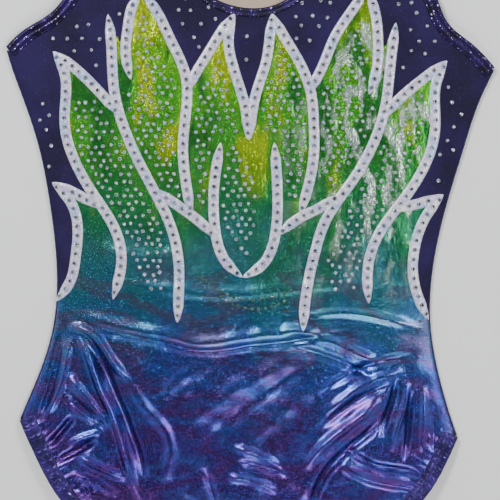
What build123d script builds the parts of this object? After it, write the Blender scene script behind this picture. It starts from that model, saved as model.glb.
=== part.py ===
"""Gymnastics leotard with petal applique and rhinestones, lying flat on its back.

+X runs across the garment, +Y towards the neck, +Z up from the surface that it lies on.
The front stands over a flat back as a low roof of layers (lining, fabric, trim), so that the
inside stays open at the neck, the two arm openings and the two leg openings.
"""
from build123d import *
import math
import os

os.makedirs("parts", exist_ok=True)

# ---------------------------------------------------------------- driving dimensions, mm
chest_width = 316.0          # across the underarm corners
body_length = 526.0          # shoulder seam to crotch seam
clear_height = 10.5          # room between the back lining and the front lining
fabric_t = 0.9               # foil spandex and plain spandex
lining_t = 0.5               # skin-tone lining
trim_t = 0.6                 # pearl applique strip
trim_w = 7.0                 # full width of a strip between its pointed ends
trim_point = 11.0            # length over which a strip narrows to its point
binding_over = 0.6           # binding stands this far above the fabric
binding_wall = 0.3
neck_binding_w = 5.0
arm_binding_w = 8.0
leg_band_w = 10.0
elastic_gap = 0.15           # clearance of an elastic inside its binding
seam_w = 0.8                 # overlocked seam edge
stone_d = 3.1                # trim stones
petal_stone_d = 3.2
yoke_stone_d = 2.8
stone_h = 1.1
table_share = 0.28           # radius of a stone's table as a share of its diameter
stone_lift = 0.06            # adhesive film under each stone
trim_pitch = 6.0
petal_pitch = 7.0
yoke_pitch = 10.5
waist_pitch = 4.6
label_size = (26.0, 14.0)
label_t = 0.25

# ------------------------------------------------------------------------- pattern pieces
# The pattern is drafted on a size 316 across and 526 long, and graded to the size above.
draft_width = 316.0
draft_length = 526.0

# side seam lines: (y, left x, right x)
sides = [
    (263.0, -165.0, 170.0),
    (190.0, -162.0, 170.0),
    (121.5, -158.0, 164.0),
    (90.0, -147.5, 149.5),
    (58.0, -137.0, 138.5),
    (20.0, -129.5, 127.0),
    (-25.0, -125.0, 117.5),
    (-60.0, -127.5, 116.5),
    (-90.0, -136.5, 121.5),
    (-120.0, -149.0, 130.0),
    (-190.0, -166.0, 152.0),
    (-263.0, -166.0, 152.0),
]

# raised areas of the front, each a low hipped roof: x from, x to, y from, y to, slope runs in x and y
roofs = [
    (-154.0, 154.0, 92.0, 260.0, 40.0, 34.0),
    (-121.0, 113.0, -200.0, 180.0, 40.0, 60.0),
    (-145.0, 128.0, -260.0, -92.0, 40.0, 36.0),
]

# free edges of the openings, from the shoulder seams down
arm_edge_left = [(-103, 263), (-101, 231), (-103, 198), (-110, 172), (-120, 153), (-130, 142),
                 (-147, 131.5), (-158, 121.5)]
arm_edge_right = [(104, 263), (103, 231), (104, 198), (110, 172), (120, 153), (127, 137),
                  (142.5, 123.5), (158, 108)]
neck_edge_front = [(-62, 263), (-60, 237), (-57, 211), (-50, 185), (-38, 164), (-24, 152.5),
                   (-4, 146), (13, 147), (26, 153), (39, 164), (52, 185), (59, 211), (63, 237), (65, 263)]
neck_edge_back = [(-62, 263), (-57, 240), (-43, 218), (-22, 205), (1, 201), (25, 205), (46, 218),
                  (60, 240), (65, 263)]
leg_edge_left = [(-149, -120), (-143, -133), (-136, -147.5), (-127.5, -163), (-113, -181),
                 (-94, -200), (-72, -219), (-53, -237), (-41, -252), (-36, -263)]
leg_edge_right = [(134, -131), (126, -147.5), (118.5, -161), (104, -179), (86, -198), (64, -217),
                  (44, -236), (31, -252), (26, -263)]

# centre lines of the applique strips, each list from a point of the petal
trim_paths = {
    "trim_low_left": [
        [(-128.5, 34), (-116, 21), (-111.5, 3), (-113, -15), (-116, -29), (-126, -43)],
        [(-128.5, 34), (-117.5, 29), (-104.5, 22), (-97, 17)],
    ],
    "trim_outer_left": [
        [(-127.5, 118.5), (-120.5, 106), (-120, 74), (-114, 49), (-101.5, 26.5), (-88, 5), (-83, -15),
         (-85.5, -31), (-88.5, -41.5)],
        [(-127.5, 118.5), (-112, 106.5), (-94.5, 89), (-84, 77)],
    ],
    "trim_spike_left": [
        [(-92, 142.5), (-90, 127), (-88, 94), (-84, 76.5), (-77.5, 59), (-63.5, 31), (-51.5, 6),
         (-46, -20), (-46, -36), (-47, -56.5)],
    ],
    "trim_tall_left": [
        [(-70, 156.5), (-75.5, 149), (-79, 134.5), (-80.5, 118), (-77, 100)],
        [(-70, 156.5), (-61, 145), (-52.5, 128), (-42, 103.5), (-43.5, 57), (-42.5, 41), (-38, 13)],
    ],
    "trim_branch_left": [
        [(-63, 30), (-47, 19), (-31, 7), (-22, -2)],
    ],
    "trim_centre_left": [
        [(-10, 143), (-16.5, 134.5), (-26.5, 118.5), (-33, 108), (-43, 90)],
        [(-10, 143), (-14, 127), (-11.5, 110), (-7, 95.5), (-3, 81), (-1.5, 61)],
    ],
    "trim_inner_left": [
        [(-19, 59.5), (-23, 35), (-23, 6), (-16, -17), (-5, -27.5)],
    ],
    "trim_centre_right": [
        [(14, 143), (12.5, 127), (10, 111), (5.5, 97), (1.5, 81), (-0.5, 61)],
        [(14, 143), (19, 133), (31, 112.5), (38.5, 94), (41, 71), (41, 52), (32, 13)],
    ],
    "trim_inner_right": [
        [(15.5, 59.5), (17.5, 28.5), (17, 7), (7.5, -19.5), (-5, -27.5)],
    ],
    "trim_branch_right": [
        [(17.5, -0.5), (32, 11), (44, 17), (58, 26)],
    ],
    "trim_tall_right": [
        [(75.5, 159), (69, 149.5), (53.5, 125.5), (48, 112), (37, 90)],
        [(75.5, 159), (79, 149.5), (82.5, 120), (81.5, 107), (76.5, 90.5)],
    ],
    "trim_spike_right": [
        [(94, 137), (90, 105.5), (87.5, 85), (82, 65.5), (67, 36.5), (48.5, 9), (42, -10), (35, -46),
         (34, -62)],
    ],
    "trim_outer_right": [
        [(127, 112.5), (120.5, 99.5), (119.5, 69.5), (110, 39.5), (96, 19), (81, -3), (75.5, -25.5),
         (76.5, -44)],
        [(127, 112.5), (114, 102.5), (94.5, 86), (84, 74)],
    ],
    "trim_low_right": [
        [(125, 26), (114.5, 13.5), (106, -10), (105, -23), (107.5, -37), (115.5, -55)],
        [(125, 26), (113.5, 21.5), (99, 17.5), (92, 15)],
    ],
}

# edge between the foil and the plain yoke, one curve for each side of each petal
foil_border = [
    [(-126, -43), (-116, -29), (-113, -15), (-111.5, 3), (-116, 21), (-128.5, 34)],
    [(-128.5, 34), (-117.5, 29), (-104.5, 22)],
    [(-104.5, 22), (-114, 49), (-120, 74), (-120.5, 106), (-127.5, 118.5)],
    [(-127.5, 118.5), (-112, 106.5), (-94.5, 89), (-88, 82)],
    [(-88, 82), (-88, 94), (-90, 127), (-92, 142.5)],
    [(-92, 142.5), (-88, 132), (-83.5, 124)],
    [(-83.5, 124), (-79, 134.5), (-75.5, 149), (-70, 156.5)],
    [(-70, 156.5), (-61, 145), (-52.5, 128), (-40, 103)],
    [(-40, 103), (-33, 108), (-26.5, 118.5), (-16.5, 134.5), (-10, 143)],
    [(-10, 143), (-13, 122), (-7, 92), (-1, 61)],
    [(-1, 61), (5, 92), (12, 122), (14, 143)],
    [(14, 143), (19, 133), (31, 112.5), (38.5, 98)],
    [(38.5, 98), (48, 112), (53.5, 125.5), (69, 149.5), (75.5, 159)],
    [(75.5, 159), (79, 149.5), (82, 134), (85.5, 119.5)],
    [(85.5, 119.5), (90, 128), (94, 137)],
    [(94, 137), (92, 123), (90, 105.5), (88.5, 82)],
    [(88.5, 82), (94.5, 86), (114, 102.5), (127, 112.5)],
    [(127, 112.5), (120.5, 99.5), (119.5, 69.5), (110, 39.5), (101, 19)],
    [(101, 19), (113.5, 21.5), (125, 26)],
    [(125, 26), (114.5, 13.5), (106, -10), (105, -23), (107.5, -37), (115.5, -55)],
]

# foil areas between the strips that carry the scattered stones
stone_petals = {
    "stones_petal_left": [
        [(-108, 86), (-113, 66), (-107, 46), (-88, 22), (-76, -4), (-60, -12), (-57, 8), (-76, 46),
         (-89, 72), (-96, 80)],
        [(-70, 140), (-73, 112), (-77, 80), (-66, 50), (-50, 30), (-49, 60), (-49, 96)],
        [(-20, 116), (-34, 96), (-35, 50), (-30, 24), (-26, 52), (-16, 66), (-8, 70), (-16, 100)],
    ],
    "stones_petal_right": [
        [(22, 116), (12, 96), (8, 72), (20, 60), (25, 30), (34, 50), (34, 92)],
        [(72, 140), (58, 118), (47, 92), (48, 46), (56, 32), (74, 66), (81, 90), (74, 110)],
        [(108, 88), (94, 76), (84, 54), (62, 14), (56, -14), (70, -16), (80, 14), (102, 42), (112, 70)],
    ],
}
stone_yoke = [
    [(-140, 108), (-134, 114), (-96, 139), (-99, 112), (-110, 117), (-128, 126)],
    [(-60, 158), (-46, 134), (-34, 122), (-16, 146), (-30, 160)],
    [(1, 140), (-6, 118), (0, 92), (7, 118)],
    [(32, 124), (44, 134), (62, 156), (30, 158), (20, 144)],
    [(92, 148), (98, 110), (112, 114), (128, 126), (118, 140), (104, 150)],
    [(-136, 88), (-128, 96), (-127, 62), (-122, 44), (-128, 46), (-134, 64)],
    [(136, 86), (128, 94), (126, 62), (118, 38), (126, 40), (134, 62)],
]
waist_arcs = [
    [(-32, -27), (-18, -37), (4, -42), (26, -36)],
    [(-26, -35), (-12, -44), (6, -48), (22, -43)],
]

yoke_back_edge = [(-170, 44), (-90, 20), (-10, 8), (70, 20), (170, 44)]
gusset_top = -205.0

# -------------------------------------------------------------------------- derived sizes
grade_x = chest_width / draft_width
grade_y = body_length / draft_length
half_length = body_length / 2
back_t = fabric_t + lining_t
reach = chest_width + body_length


def graded(points):
    """Grade drafted pattern points to this size."""
    return [(x * grade_x, y * grade_y) for x, y in points]


def slope_profile(start, end, run, base):
    """Trapezoid of one roof in elevation, from its foot at base to its flat top."""
    top = base + clear_height
    return [(start, base), (end, base), (end - run, top), (start + run, top)]


def under_roofs(lift):
    """Everything between the back lining and the roofs raised by lift."""
    base = back_t + lift
    with BuildPart() as space:
        if lift > 0:
            with BuildSketch(Plane.XY.offset(back_t)):
                Rectangle(2 * reach, 2 * reach)
            extrude(amount=lift)
        for x_start, x_end, y_start, y_end, run_x, run_y in roofs:
            x_sides = (x_start * grade_x, x_end * grade_x)
            y_sides = (y_start * grade_y, y_end * grade_y)
            with BuildPart(mode=Mode.PRIVATE) as roof:
                with BuildSketch(Plane.XZ):
                    with BuildLine():
                        Polyline(*slope_profile(*x_sides, run_x * grade_x, base), close=True)
                    make_face()
                extrude(amount=reach, both=True)
                with BuildSketch(Plane.YZ):
                    with BuildLine():
                        Polyline(*slope_profile(*y_sides, run_y * grade_y, base), close=True)
                    make_face()
                extrude(amount=reach, both=True, mode=Mode.INTERSECT)
            add(roof.part)
    return space.part


def roof_layer(bottom, top):
    """Layer of the front between two lifts above the back lining."""
    with BuildPart() as layer:
        add(under_roofs(top))
        add(under_roofs(bottom), mode=Mode.SUBTRACT)
    return layer.part


def surface_at(x, y, lift):
    """Point on the roofs raised by lift, and the upward normal there."""
    best = (0.0, 0.0, 0.0)
    for x_start, x_end, y_start, y_end, run_x, run_y in roofs:
        slope_x = clear_height / (run_x * grade_x)
        slope_y = clear_height / (run_y * grade_y)
        climbs = [
            (clear_height, 0.0, 0.0),
            ((x - x_start * grade_x) * slope_x, slope_x, 0.0),
            ((x_end * grade_x - x) * slope_x, -slope_x, 0.0),
            ((y - y_start * grade_y) * slope_y, 0.0, slope_y),
            ((y_end * grade_y - y) * slope_y, 0.0, -slope_y),
        ]
        best = max(best, min(climbs))
    height, along_x, along_y = best
    return Vector(x, y, back_t + lift + height), Vector(-along_x, -along_y, 1).normalized()


def side_curve(column, shift=0.0):
    """Side seam line in plan, from the shoulder level to the crotch level."""
    return [(row[column] * grade_x + shift, row[0] * grade_y) for row in sides]


def plan_outline(margin=0.0):
    """Plan of the garment before its openings are cut, with a margin added at both sides."""
    with BuildSketch() as plan:
        with BuildLine():
            left = Spline(*side_curve(1, -margin))
            right = Spline(*side_curve(2, margin))
            Line(left @ 0, right @ 0)
            Line(left @ 1, right @ 1)
        make_face()
    return plan.sketch


def strip(points, near, far, point_length=0.0, end_gap=0.0, step=7.0):
    """Strip beside a path, between two distances to its left.

    It narrows to points over point_length, stops end_gap short of both ends, and with a
    negative end_gap runs straight on past them.
    """
    path = Spline(*points)
    count = max(6, round(path.length / step))
    first = max(0.0, end_gap) / path.length
    rows = []
    for index in range(count + 1):
        share = first + (1 - 2 * first) * index / count
        rows.append((share, path.position_at(share), path.tangent_at(share)))
    if end_gap < 0:
        share, centre, tangent = rows[0]
        rows.insert(0, (share, centre + tangent * end_gap, tangent))
        share, centre, tangent = rows[-1]
        rows.append((share, centre - tangent * end_gap, tangent))
    near_side = []
    far_side = []
    for share, centre, tangent in rows:
        room = min(share, 1 - share) * path.length
        fill = 1.0
        if point_length > 0:
            fill = max(0.04, min(1.0, room / point_length) ** 0.6)
        for distance, side in ((near, near_side), (far, far_side)):
            side.append((centre.X - tangent.Y * distance * fill, centre.Y + tangent.X * distance * fill))
    with BuildSketch() as face:
        with BuildLine():
            Spline(*near_side)
            Spline(*far_side)
            Line(near_side[0], far_side[0])
            Line(near_side[-1], far_side[-1])
        make_face()
    return face.sketch


def beyond(points, way):
    """Everything on the outer side of an opening's free edge, towards the given corner points."""
    with BuildSketch() as face:
        with BuildLine():
            edge = Spline(*points)
            Polyline(edge @ 0, *way, edge @ 1)
        make_face()
    return face.sketch


def cut_from(layer, face, mode=Mode.INTERSECT):
    """The part of a layer that lies over a plan face, or the rest of it."""
    with BuildPart() as piece:
        add(layer)
        with BuildSketch(Plane.XY.offset(-1)):
            add(face)
        extrude(amount=clear_height + 20, mode=mode)
    return piece.part


def flat_layer(face, bottom, top):
    """Flat solid over a plan face."""
    with BuildPart() as piece:
        with BuildSketch(Plane.XY.offset(bottom)):
            add(face)
        extrude(amount=top - bottom)
    return piece.part


def save(part, name):
    """Label one sub-part and write it."""
    part.label = name
    export_step(part, f"parts/{name}.step")


# ------------------------------------------------------------------- opening edges in plan
arm_left = graded(arm_edge_left)
arm_right = graded(arm_edge_right)
neck_front = graded(neck_edge_front)
neck_back = graded(neck_edge_back)
leg_left = graded(leg_edge_left)
leg_right = graded(leg_edge_right)
past_end = half_length + 9
cover_past = 4.0             # a binding's plan runs this far past the free edge before it is trimmed


def above(edge, side):
    """Corners that close an armhole's plan beyond its shoulder end and its side end."""
    return [(edge[0][0], past_end), (side * reach, past_end), (side * reach, edge[-1][1])]


def below(edge, side):
    """Corners that close a leg opening's plan beyond its side end and its crotch end."""
    return [(side * reach, edge[0][1]), (side * reach, -past_end), (edge[-1][0], -past_end)]


outline = plan_outline()
beyond_arm_left = beyond(arm_left, above(arm_left, -1))
beyond_arm_right = beyond(arm_right, above(arm_right, 1))
beyond_leg_left = beyond(leg_left, below(leg_left, -1))
beyond_leg_right = beyond(leg_right, below(leg_right, 1))
neck_ends = [(neck_front[0][0], past_end), (neck_front[-1][0], past_end)]
inside_neck_front = beyond(neck_front, neck_ends)
inside_neck_back = beyond(neck_back, neck_ends)
body_plan = outline - beyond_arm_left - beyond_arm_right - beyond_leg_left - beyond_leg_right
front_plan = body_plan - inside_neck_front
back_plan = body_plan - inside_neck_back

# ---------------------------------------------------- bound openings: binding and elastic
# name, elastic name, front edge, back edge, side on which the cloth lies, width
bound_openings = [
    ("neck_binding", "neck_elastic", neck_front, neck_back, -1, neck_binding_w),
    ("armhole_binding_left", "armhole_elastic_left", arm_left, arm_left, 1, arm_binding_w),
    ("armhole_binding_right", "armhole_elastic_right", arm_right, arm_right, -1, arm_binding_w),
    ("leg_band_left", "leg_elastic_left", leg_left, leg_left, 1, leg_band_w),
    ("leg_band_right", "leg_elastic_right", leg_right, leg_right, -1, leg_band_w),
]
front_t = lining_t + fabric_t
binding_top = front_t + binding_over
inset = binding_wall + elastic_gap
layer_binding = roof_layer(0, binding_top)
layer_hollow = roof_layer(binding_wall, binding_top - binding_wall)
layer_elastic = roof_layer(inset, binding_top - inset)

front_cloth_plan = front_plan
back_cloth_plan = back_plan
for name, elastic_name, front_edge, back_edge, side, width in bound_openings:
    front_cover = strip(front_edge, -side * cover_past, side * width, end_gap=-cover_past)
    back_cover = strip(back_edge, -side * cover_past, side * width, end_gap=-cover_past)
    front_strip = front_cover & front_plan
    back_strip = back_cover & back_plan
    front_cloth_plan = front_cloth_plan - front_cover
    back_cloth_plan = back_cloth_plan - back_cover
    wall = side * binding_wall
    far_wall = side * (width - binding_wall)
    clear = side * inset
    far_clear = side * (width - inset)
    front_hollow = strip(front_edge, wall, far_wall, end_gap=2 * binding_wall)
    back_hollow = strip(back_edge, wall, far_wall, end_gap=2 * binding_wall)
    front_elastic = strip(front_edge, clear, far_clear, end_gap=2 * inset)
    back_elastic = strip(back_edge, clear, far_clear, end_gap=2 * inset)
    with BuildPart() as binding:
        add(cut_from(layer_binding, front_strip))
        add(cut_from(layer_hollow, front_hollow), mode=Mode.SUBTRACT)
        add(flat_layer(back_strip, 0, back_t))
        add(flat_layer(back_hollow, binding_wall, back_t - binding_wall), mode=Mode.SUBTRACT)
    save(binding.part, name)
    with BuildPart() as elastic:
        add(cut_from(layer_elastic, front_elastic))
        add(flat_layer(back_elastic, inset, back_t - inset))
    save(elastic.part, elastic_name)

# ------------------------------------------------------------------------ cloth panels
with BuildSketch() as foil_region:
    with BuildLine():
        for curve in foil_border:
            Spline(*graded(curve))
        first, last = graded([foil_border[0][0], foil_border[-1][-1]])
        Polyline(last, (reach, last[1]), (reach, -past_end), (-reach, -past_end), (-reach, first[1]), first)
    make_face()

layer_lining = roof_layer(0, lining_t)
layer_fabric = roof_layer(lining_t, front_t)
layer_trim = roof_layer(front_t, front_t + trim_t)

with BuildSketch() as gusset_side:
    with BuildLine():
        Polyline((-reach, gusset_top * grade_y), (reach, gusset_top * grade_y), (reach, -past_end),
                 (-reach, -past_end), close=True)
    make_face()
with BuildSketch() as yoke_back_side:
    with BuildLine():
        seam = Spline(*graded(yoke_back_edge))
        Polyline(seam @ 1, (reach, past_end), (-reach, past_end), seam @ 0)
    make_face()

front_foil_plan = front_cloth_plan & foil_region.sketch
save(cut_from(layer_fabric, front_foil_plan), "front_foil_panel")
save(cut_from(layer_fabric, front_cloth_plan - foil_region.sketch), "front_yoke")
save(cut_from(layer_lining, front_cloth_plan - gusset_side.sketch), "front_lining")
save(cut_from(layer_lining, front_cloth_plan & gusset_side.sketch), "gusset_lining")
save(flat_layer(back_cloth_plan & yoke_back_side.sketch, 0, fabric_t), "back_yoke")
save(flat_layer(back_cloth_plan - yoke_back_side.sketch, 0, fabric_t), "back_foil_panel")
save(flat_layer(back_cloth_plan, fabric_t, back_t), "back_lining")

# ------------------------------------------------------------------------------- seams
side_band = plan_outline(seam_w) - outline
edge_height = back_t + front_t
for name, edge_arm, edge_leg, side in (
    ("side_seam_left", arm_left, leg_left, -1),
    ("side_seam_right", arm_right, leg_right, 1),
):
    upper = edge_arm[-1][1]
    lower = edge_leg[0][1]
    with BuildSketch() as seam_reach:
        with Locations((side * reach / 2, (upper + lower) / 2)):
            Rectangle(reach, upper - lower)
    save(flat_layer(side_band & seam_reach.sketch, 0, edge_height), name)

end_height = back_t + binding_top
for name, x_start, x_end, y_near in (
    ("shoulder_seam_left", arm_left[0][0], neck_front[0][0], half_length),
    ("shoulder_seam_right", neck_front[-1][0], arm_right[0][0], half_length),
    ("crotch_seam", leg_left[-1][0], leg_right[-1][0], -half_length - seam_w),
):
    with BuildPart() as seam_end:
        with BuildSketch():
            with Locations(((x_start + x_end) / 2, y_near + seam_w / 2)):
                Rectangle(abs(x_end - x_start), seam_w)
        extrude(amount=end_height)
    save(seam_end.part, name)

label_y = neck_back[len(neck_back) // 2][1] - neck_binding_w - 2 - label_size[1] / 2
with BuildPart() as size_label:
    with BuildSketch(Plane.XY.offset(back_t)):
        with Locations((0, label_y)):
            Rectangle(*label_size)
    extrude(amount=label_t)
save(size_label.part, "size_label")

# ----------------------------------------------------------------------- applique strips
laid = None
trim_rows = {}
for name, paths in trim_paths.items():
    own = None
    for points in paths:
        face = strip(graded(points), -trim_w / 2, trim_w / 2, point_length=trim_point)
        own = face if own is None else own + face
    shape = own & front_cloth_plan
    if laid is not None:
        shape = shape - laid
    laid = own if laid is None else laid + own
    pieces = [face for face in shape.faces() if face.area > 6.0]
    save(cut_from(layer_trim, Sketch() + pieces), name)
    trim_rows[name] = [Spline(*graded(points)) for points in paths]


# -------------------------------------------------------------------------- rhinestones
def inside(point, polygon):
    """Even-odd test of a plan point against a closed polygon."""
    x, y = point
    odd = False
    for (x0, y0), (x1, y1) in zip(polygon, polygon[1:] + polygon[:1]):
        if (y0 > y) != (y1 > y) and x < x0 + (y - y0) * (x1 - x0) / (y1 - y0):
            odd = not odd
    return odd


def jitter(index, salt):
    """Repeatable offset between -1 and 1 for one stone."""
    return 2 * ((math.sin(index * 12.9898 + salt * 78.233) * 43758.5453) % 1) - 1


def clear_of(point, others, distance):
    """Whether a plan point keeps a distance from all others."""
    return all(math.dist(point, other) >= distance for other in others)


def scattered(polygon, pitch, avoid):
    """Staggered stone centres inside a polygon, slightly uneven, clear of the points to avoid."""
    xs = [x for x, y in polygon]
    ys = [y for x, y in polygon]
    found = []
    row_step = pitch * 0.866
    for row in range(math.ceil((max(ys) - min(ys)) / row_step)):
        for column in range(math.ceil((max(xs) - min(xs)) / pitch) + 1):
            number = row * 97 + column + len(avoid)
            x = min(xs) + (column + 0.5 * (row % 2)) * pitch + 0.16 * pitch * jitter(number, 1)
            y = min(ys) + (row + 0.5) * row_step + 0.16 * pitch * jitter(number, 2)
            if inside((x, y), polygon) and clear_of((x, y), avoid, pitch * 0.6):
                if clear_of((x, y), found, pitch * 0.6):
                    found.append((x, y))
    return found


def stones_on(lift, centres, diameter):
    """One cut stone for each centre, its flat back on the surface: girdle, crown and table."""
    seats = []
    for x, y in centres:
        point, normal = surface_at(x, y, lift)
        seats.append(Plane(origin=point + normal * stone_lift, z_dir=normal))
    with BuildPart() as group:
        with Locations(*seats):
            Cone(diameter / 2, diameter * table_share, stone_h, align=(Align.CENTER, Align.CENTER, Align.MIN))
    return group.part


row_points = {"left": [], "right": []}
for name, rows in trim_rows.items():
    side = "left" if name.endswith("left") else "right"
    for row in rows:
        count = round((row.length - trim_point) / trim_pitch)
        for index in range(count + 1):
            spot = row.position_at((trim_point / 2 + index * (row.length - trim_point) / count) / row.length)
            centre = (spot.X, spot.Y)
            if clear_of(centre, row_points["left"] + row_points["right"], stone_d + 0.6):
                row_points[side].append(centre)
along_trims = []
for rows in trim_rows.values():
    for row in rows:
        steps = round(row.length / 2)
        spots = [row.position_at(k / steps) for k in range(steps + 1)]
        along_trims += [(spot.X, spot.Y) for spot in spots]

for side, centres in row_points.items():
    save(stones_on(front_t + trim_t, centres, stone_d), f"stones_trim_{side}")

for name, polygons in stone_petals.items():
    centres = []
    for polygon in polygons:
        centres += scattered(graded(polygon), petal_pitch, along_trims)
    save(stones_on(front_t, centres, petal_stone_d), name)

for name, side in (("stones_yoke_left", -1), ("stones_yoke_right", 1)):
    centres = []
    for polygon in stone_yoke:
        middle = sum(x for x, y in polygon) / len(polygon)
        if middle * side > 0:
            centres += scattered(graded(polygon), yoke_pitch, along_trims)
    save(stones_on(front_t, centres, yoke_stone_d), name)

waist_centres = []
for points in waist_arcs:
    row = Spline(*graded(points))
    count = round(row.length / waist_pitch)
    for index in range(count + 1):
        spot = row.position_at(index / count)
        waist_centres.append((spot.X, spot.Y))
save(stones_on(front_t, waist_centres, yoke_stone_d), "stones_waist")
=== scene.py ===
"""Gymnastics leotard lying flat: cloth with its folds, applique strips, stones, bindings, stage."""
import logging
import math
from dataclasses import dataclass, field

import bpy
import numpy as np
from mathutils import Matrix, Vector


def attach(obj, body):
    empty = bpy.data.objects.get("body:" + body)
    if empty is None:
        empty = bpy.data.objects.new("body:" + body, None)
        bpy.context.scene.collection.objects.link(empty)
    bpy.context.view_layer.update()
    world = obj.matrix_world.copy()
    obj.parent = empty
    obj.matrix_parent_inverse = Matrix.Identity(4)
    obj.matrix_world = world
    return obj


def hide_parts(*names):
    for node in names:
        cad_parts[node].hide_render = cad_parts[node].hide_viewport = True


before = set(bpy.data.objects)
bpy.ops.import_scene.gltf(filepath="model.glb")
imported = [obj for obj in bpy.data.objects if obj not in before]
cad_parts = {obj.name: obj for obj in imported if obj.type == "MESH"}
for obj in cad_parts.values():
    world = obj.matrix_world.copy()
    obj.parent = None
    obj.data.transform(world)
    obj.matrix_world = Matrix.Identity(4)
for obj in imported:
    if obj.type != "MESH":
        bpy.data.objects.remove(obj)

LOG = logging.getLogger("leotard")
MM = 0.001
BODY = "root"
Points = list[tuple[float, float]]

# ------------------------------------------------------------------ pattern, mm in plan
SIDES = [
    (263.0, -165.0, 170.0), (190.0, -162.0, 170.0), (121.5, -158.0, 164.0), (90.0, -147.5, 149.5),
    (58.0, -137.0, 138.5), (20.0, -129.5, 127.0), (-25.0, -125.0, 117.5), (-60.0, -127.5, 116.5),
    (-90.0, -136.5, 121.5), (-120.0, -149.0, 130.0), (-190.0, -166.0, 152.0), (-263.0, -166.0, 152.0),
]
ARM_LEFT: Points = [(-103, 263), (-101, 231), (-103, 198), (-110, 172), (-120, 153), (-130, 142),
                    (-147, 131.5), (-158, 121.5)]
ARM_RIGHT: Points = [(104, 263), (103, 231), (104, 198), (110, 172), (120, 153), (127, 137),
                     (142.5, 123.5), (158, 108)]
NECK_FRONT: Points = [(-62, 263), (-60, 237), (-57, 211), (-50, 185), (-38, 164), (-24, 152.5), (-4, 146),
                      (13, 147), (26, 153), (39, 164), (52, 185), (59, 211), (63, 237), (65, 263)]
NECK_BACK: Points = [(-62, 263), (-57, 240), (-43, 218), (-22, 205), (1, 201), (25, 205), (46, 218),
                     (60, 240), (65, 263)]
LEG_LEFT: Points = [(-149, -120), (-143, -133), (-136, -147.5), (-127.5, -163), (-113, -181), (-94, -200),
                    (-72, -219), (-53, -237), (-41, -252), (-36, -263)]
LEG_RIGHT: Points = [(134, -131), (126, -147.5), (118.5, -161), (104, -179), (86, -198), (64, -217),
                     (44, -236), (31, -252), (26, -263)]
YOKE_BACK_EDGE: Points = [(-170, 44), (-90, 20), (-10, 8), (70, 20), (170, 44)]

# centre lines of the applique strips
STRIPS: dict[str, list[Points]] = {
    "trim_low_left": [
        [(-128.5, 34), (-116, 21), (-111.5, 3), (-113, -15), (-116, -29), (-126, -43)],
        [(-128.5, 34), (-117.5, 29), (-104.5, 22), (-97, 17)]],
    "trim_outer_left": [
        [(-127.5, 118.5), (-120.5, 106), (-120, 74), (-114, 49), (-101.5, 26.5), (-88, 5), (-83, -15),
         (-85.5, -31), (-88.5, -41.5)],
        [(-127.5, 118.5), (-112, 106.5), (-94.5, 89), (-84, 77)]],
    "trim_spike_left": [
        [(-92, 142.5), (-90, 127), (-88, 94), (-84, 76.5), (-77.5, 59), (-63.5, 31), (-51.5, 6), (-46, -20),
         (-46, -36), (-47, -56.5)]],
    "trim_tall_left": [
        [(-70, 156.5), (-75.5, 149), (-79, 134.5), (-80.5, 118), (-77, 100)],
        [(-70, 156.5), (-61, 145), (-52.5, 128), (-42, 103.5), (-43.5, 57), (-42.5, 41), (-38, 13)]],
    "trim_branch_left": [
        [(-63, 30), (-47, 19), (-31, 7), (-22, -2)]],
    "trim_centre_left": [
        [(-10, 143), (-16.5, 134.5), (-26.5, 118.5), (-33, 108), (-43, 90)],
        [(-10, 143), (-14, 127), (-11.5, 110), (-7, 95.5), (-3, 81), (-1.5, 61)]],
    "trim_inner_left": [
        [(-19, 59.5), (-23, 35), (-23, 6), (-16, -17), (-5, -27.5)]],
    "trim_centre_right": [
        [(14, 143), (12.5, 127), (10, 111), (5.5, 97), (1.5, 81), (-0.5, 61)],
        [(14, 143), (19, 133), (31, 112.5), (38.5, 94), (41, 71), (41, 52), (32, 13)]],
    "trim_inner_right": [
        [(15.5, 59.5), (17.5, 28.5), (17, 7), (7.5, -19.5), (-5, -27.5)]],
    "trim_branch_right": [
        [(17.5, -0.5), (32, 11), (44, 17), (58, 26)]],
    "trim_tall_right": [
        [(75.5, 159), (69, 149.5), (53.5, 125.5), (48, 112), (37, 90)],
        [(75.5, 159), (79, 149.5), (82.5, 120), (81.5, 107), (76.5, 90.5)]],
    "trim_spike_right": [
        [(94, 137), (90, 105.5), (87.5, 85), (82, 65.5), (67, 36.5), (48.5, 9), (42, -10), (35, -46),
         (34, -62)]],
    "trim_outer_right": [
        [(127, 112.5), (120.5, 99.5), (119.5, 69.5), (110, 39.5), (96, 19), (81, -3), (75.5, -25.5),
         (76.5, -44)],
        [(127, 112.5), (114, 102.5), (94.5, 86), (84, 74)]],
    "trim_low_right": [
        [(125, 26), (114.5, 13.5), (106, -10), (105, -23), (107.5, -37), (115.5, -55)],
        [(125, 26), (113.5, 21.5), (99, 17.5), (92, 15)]],
}

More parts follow.
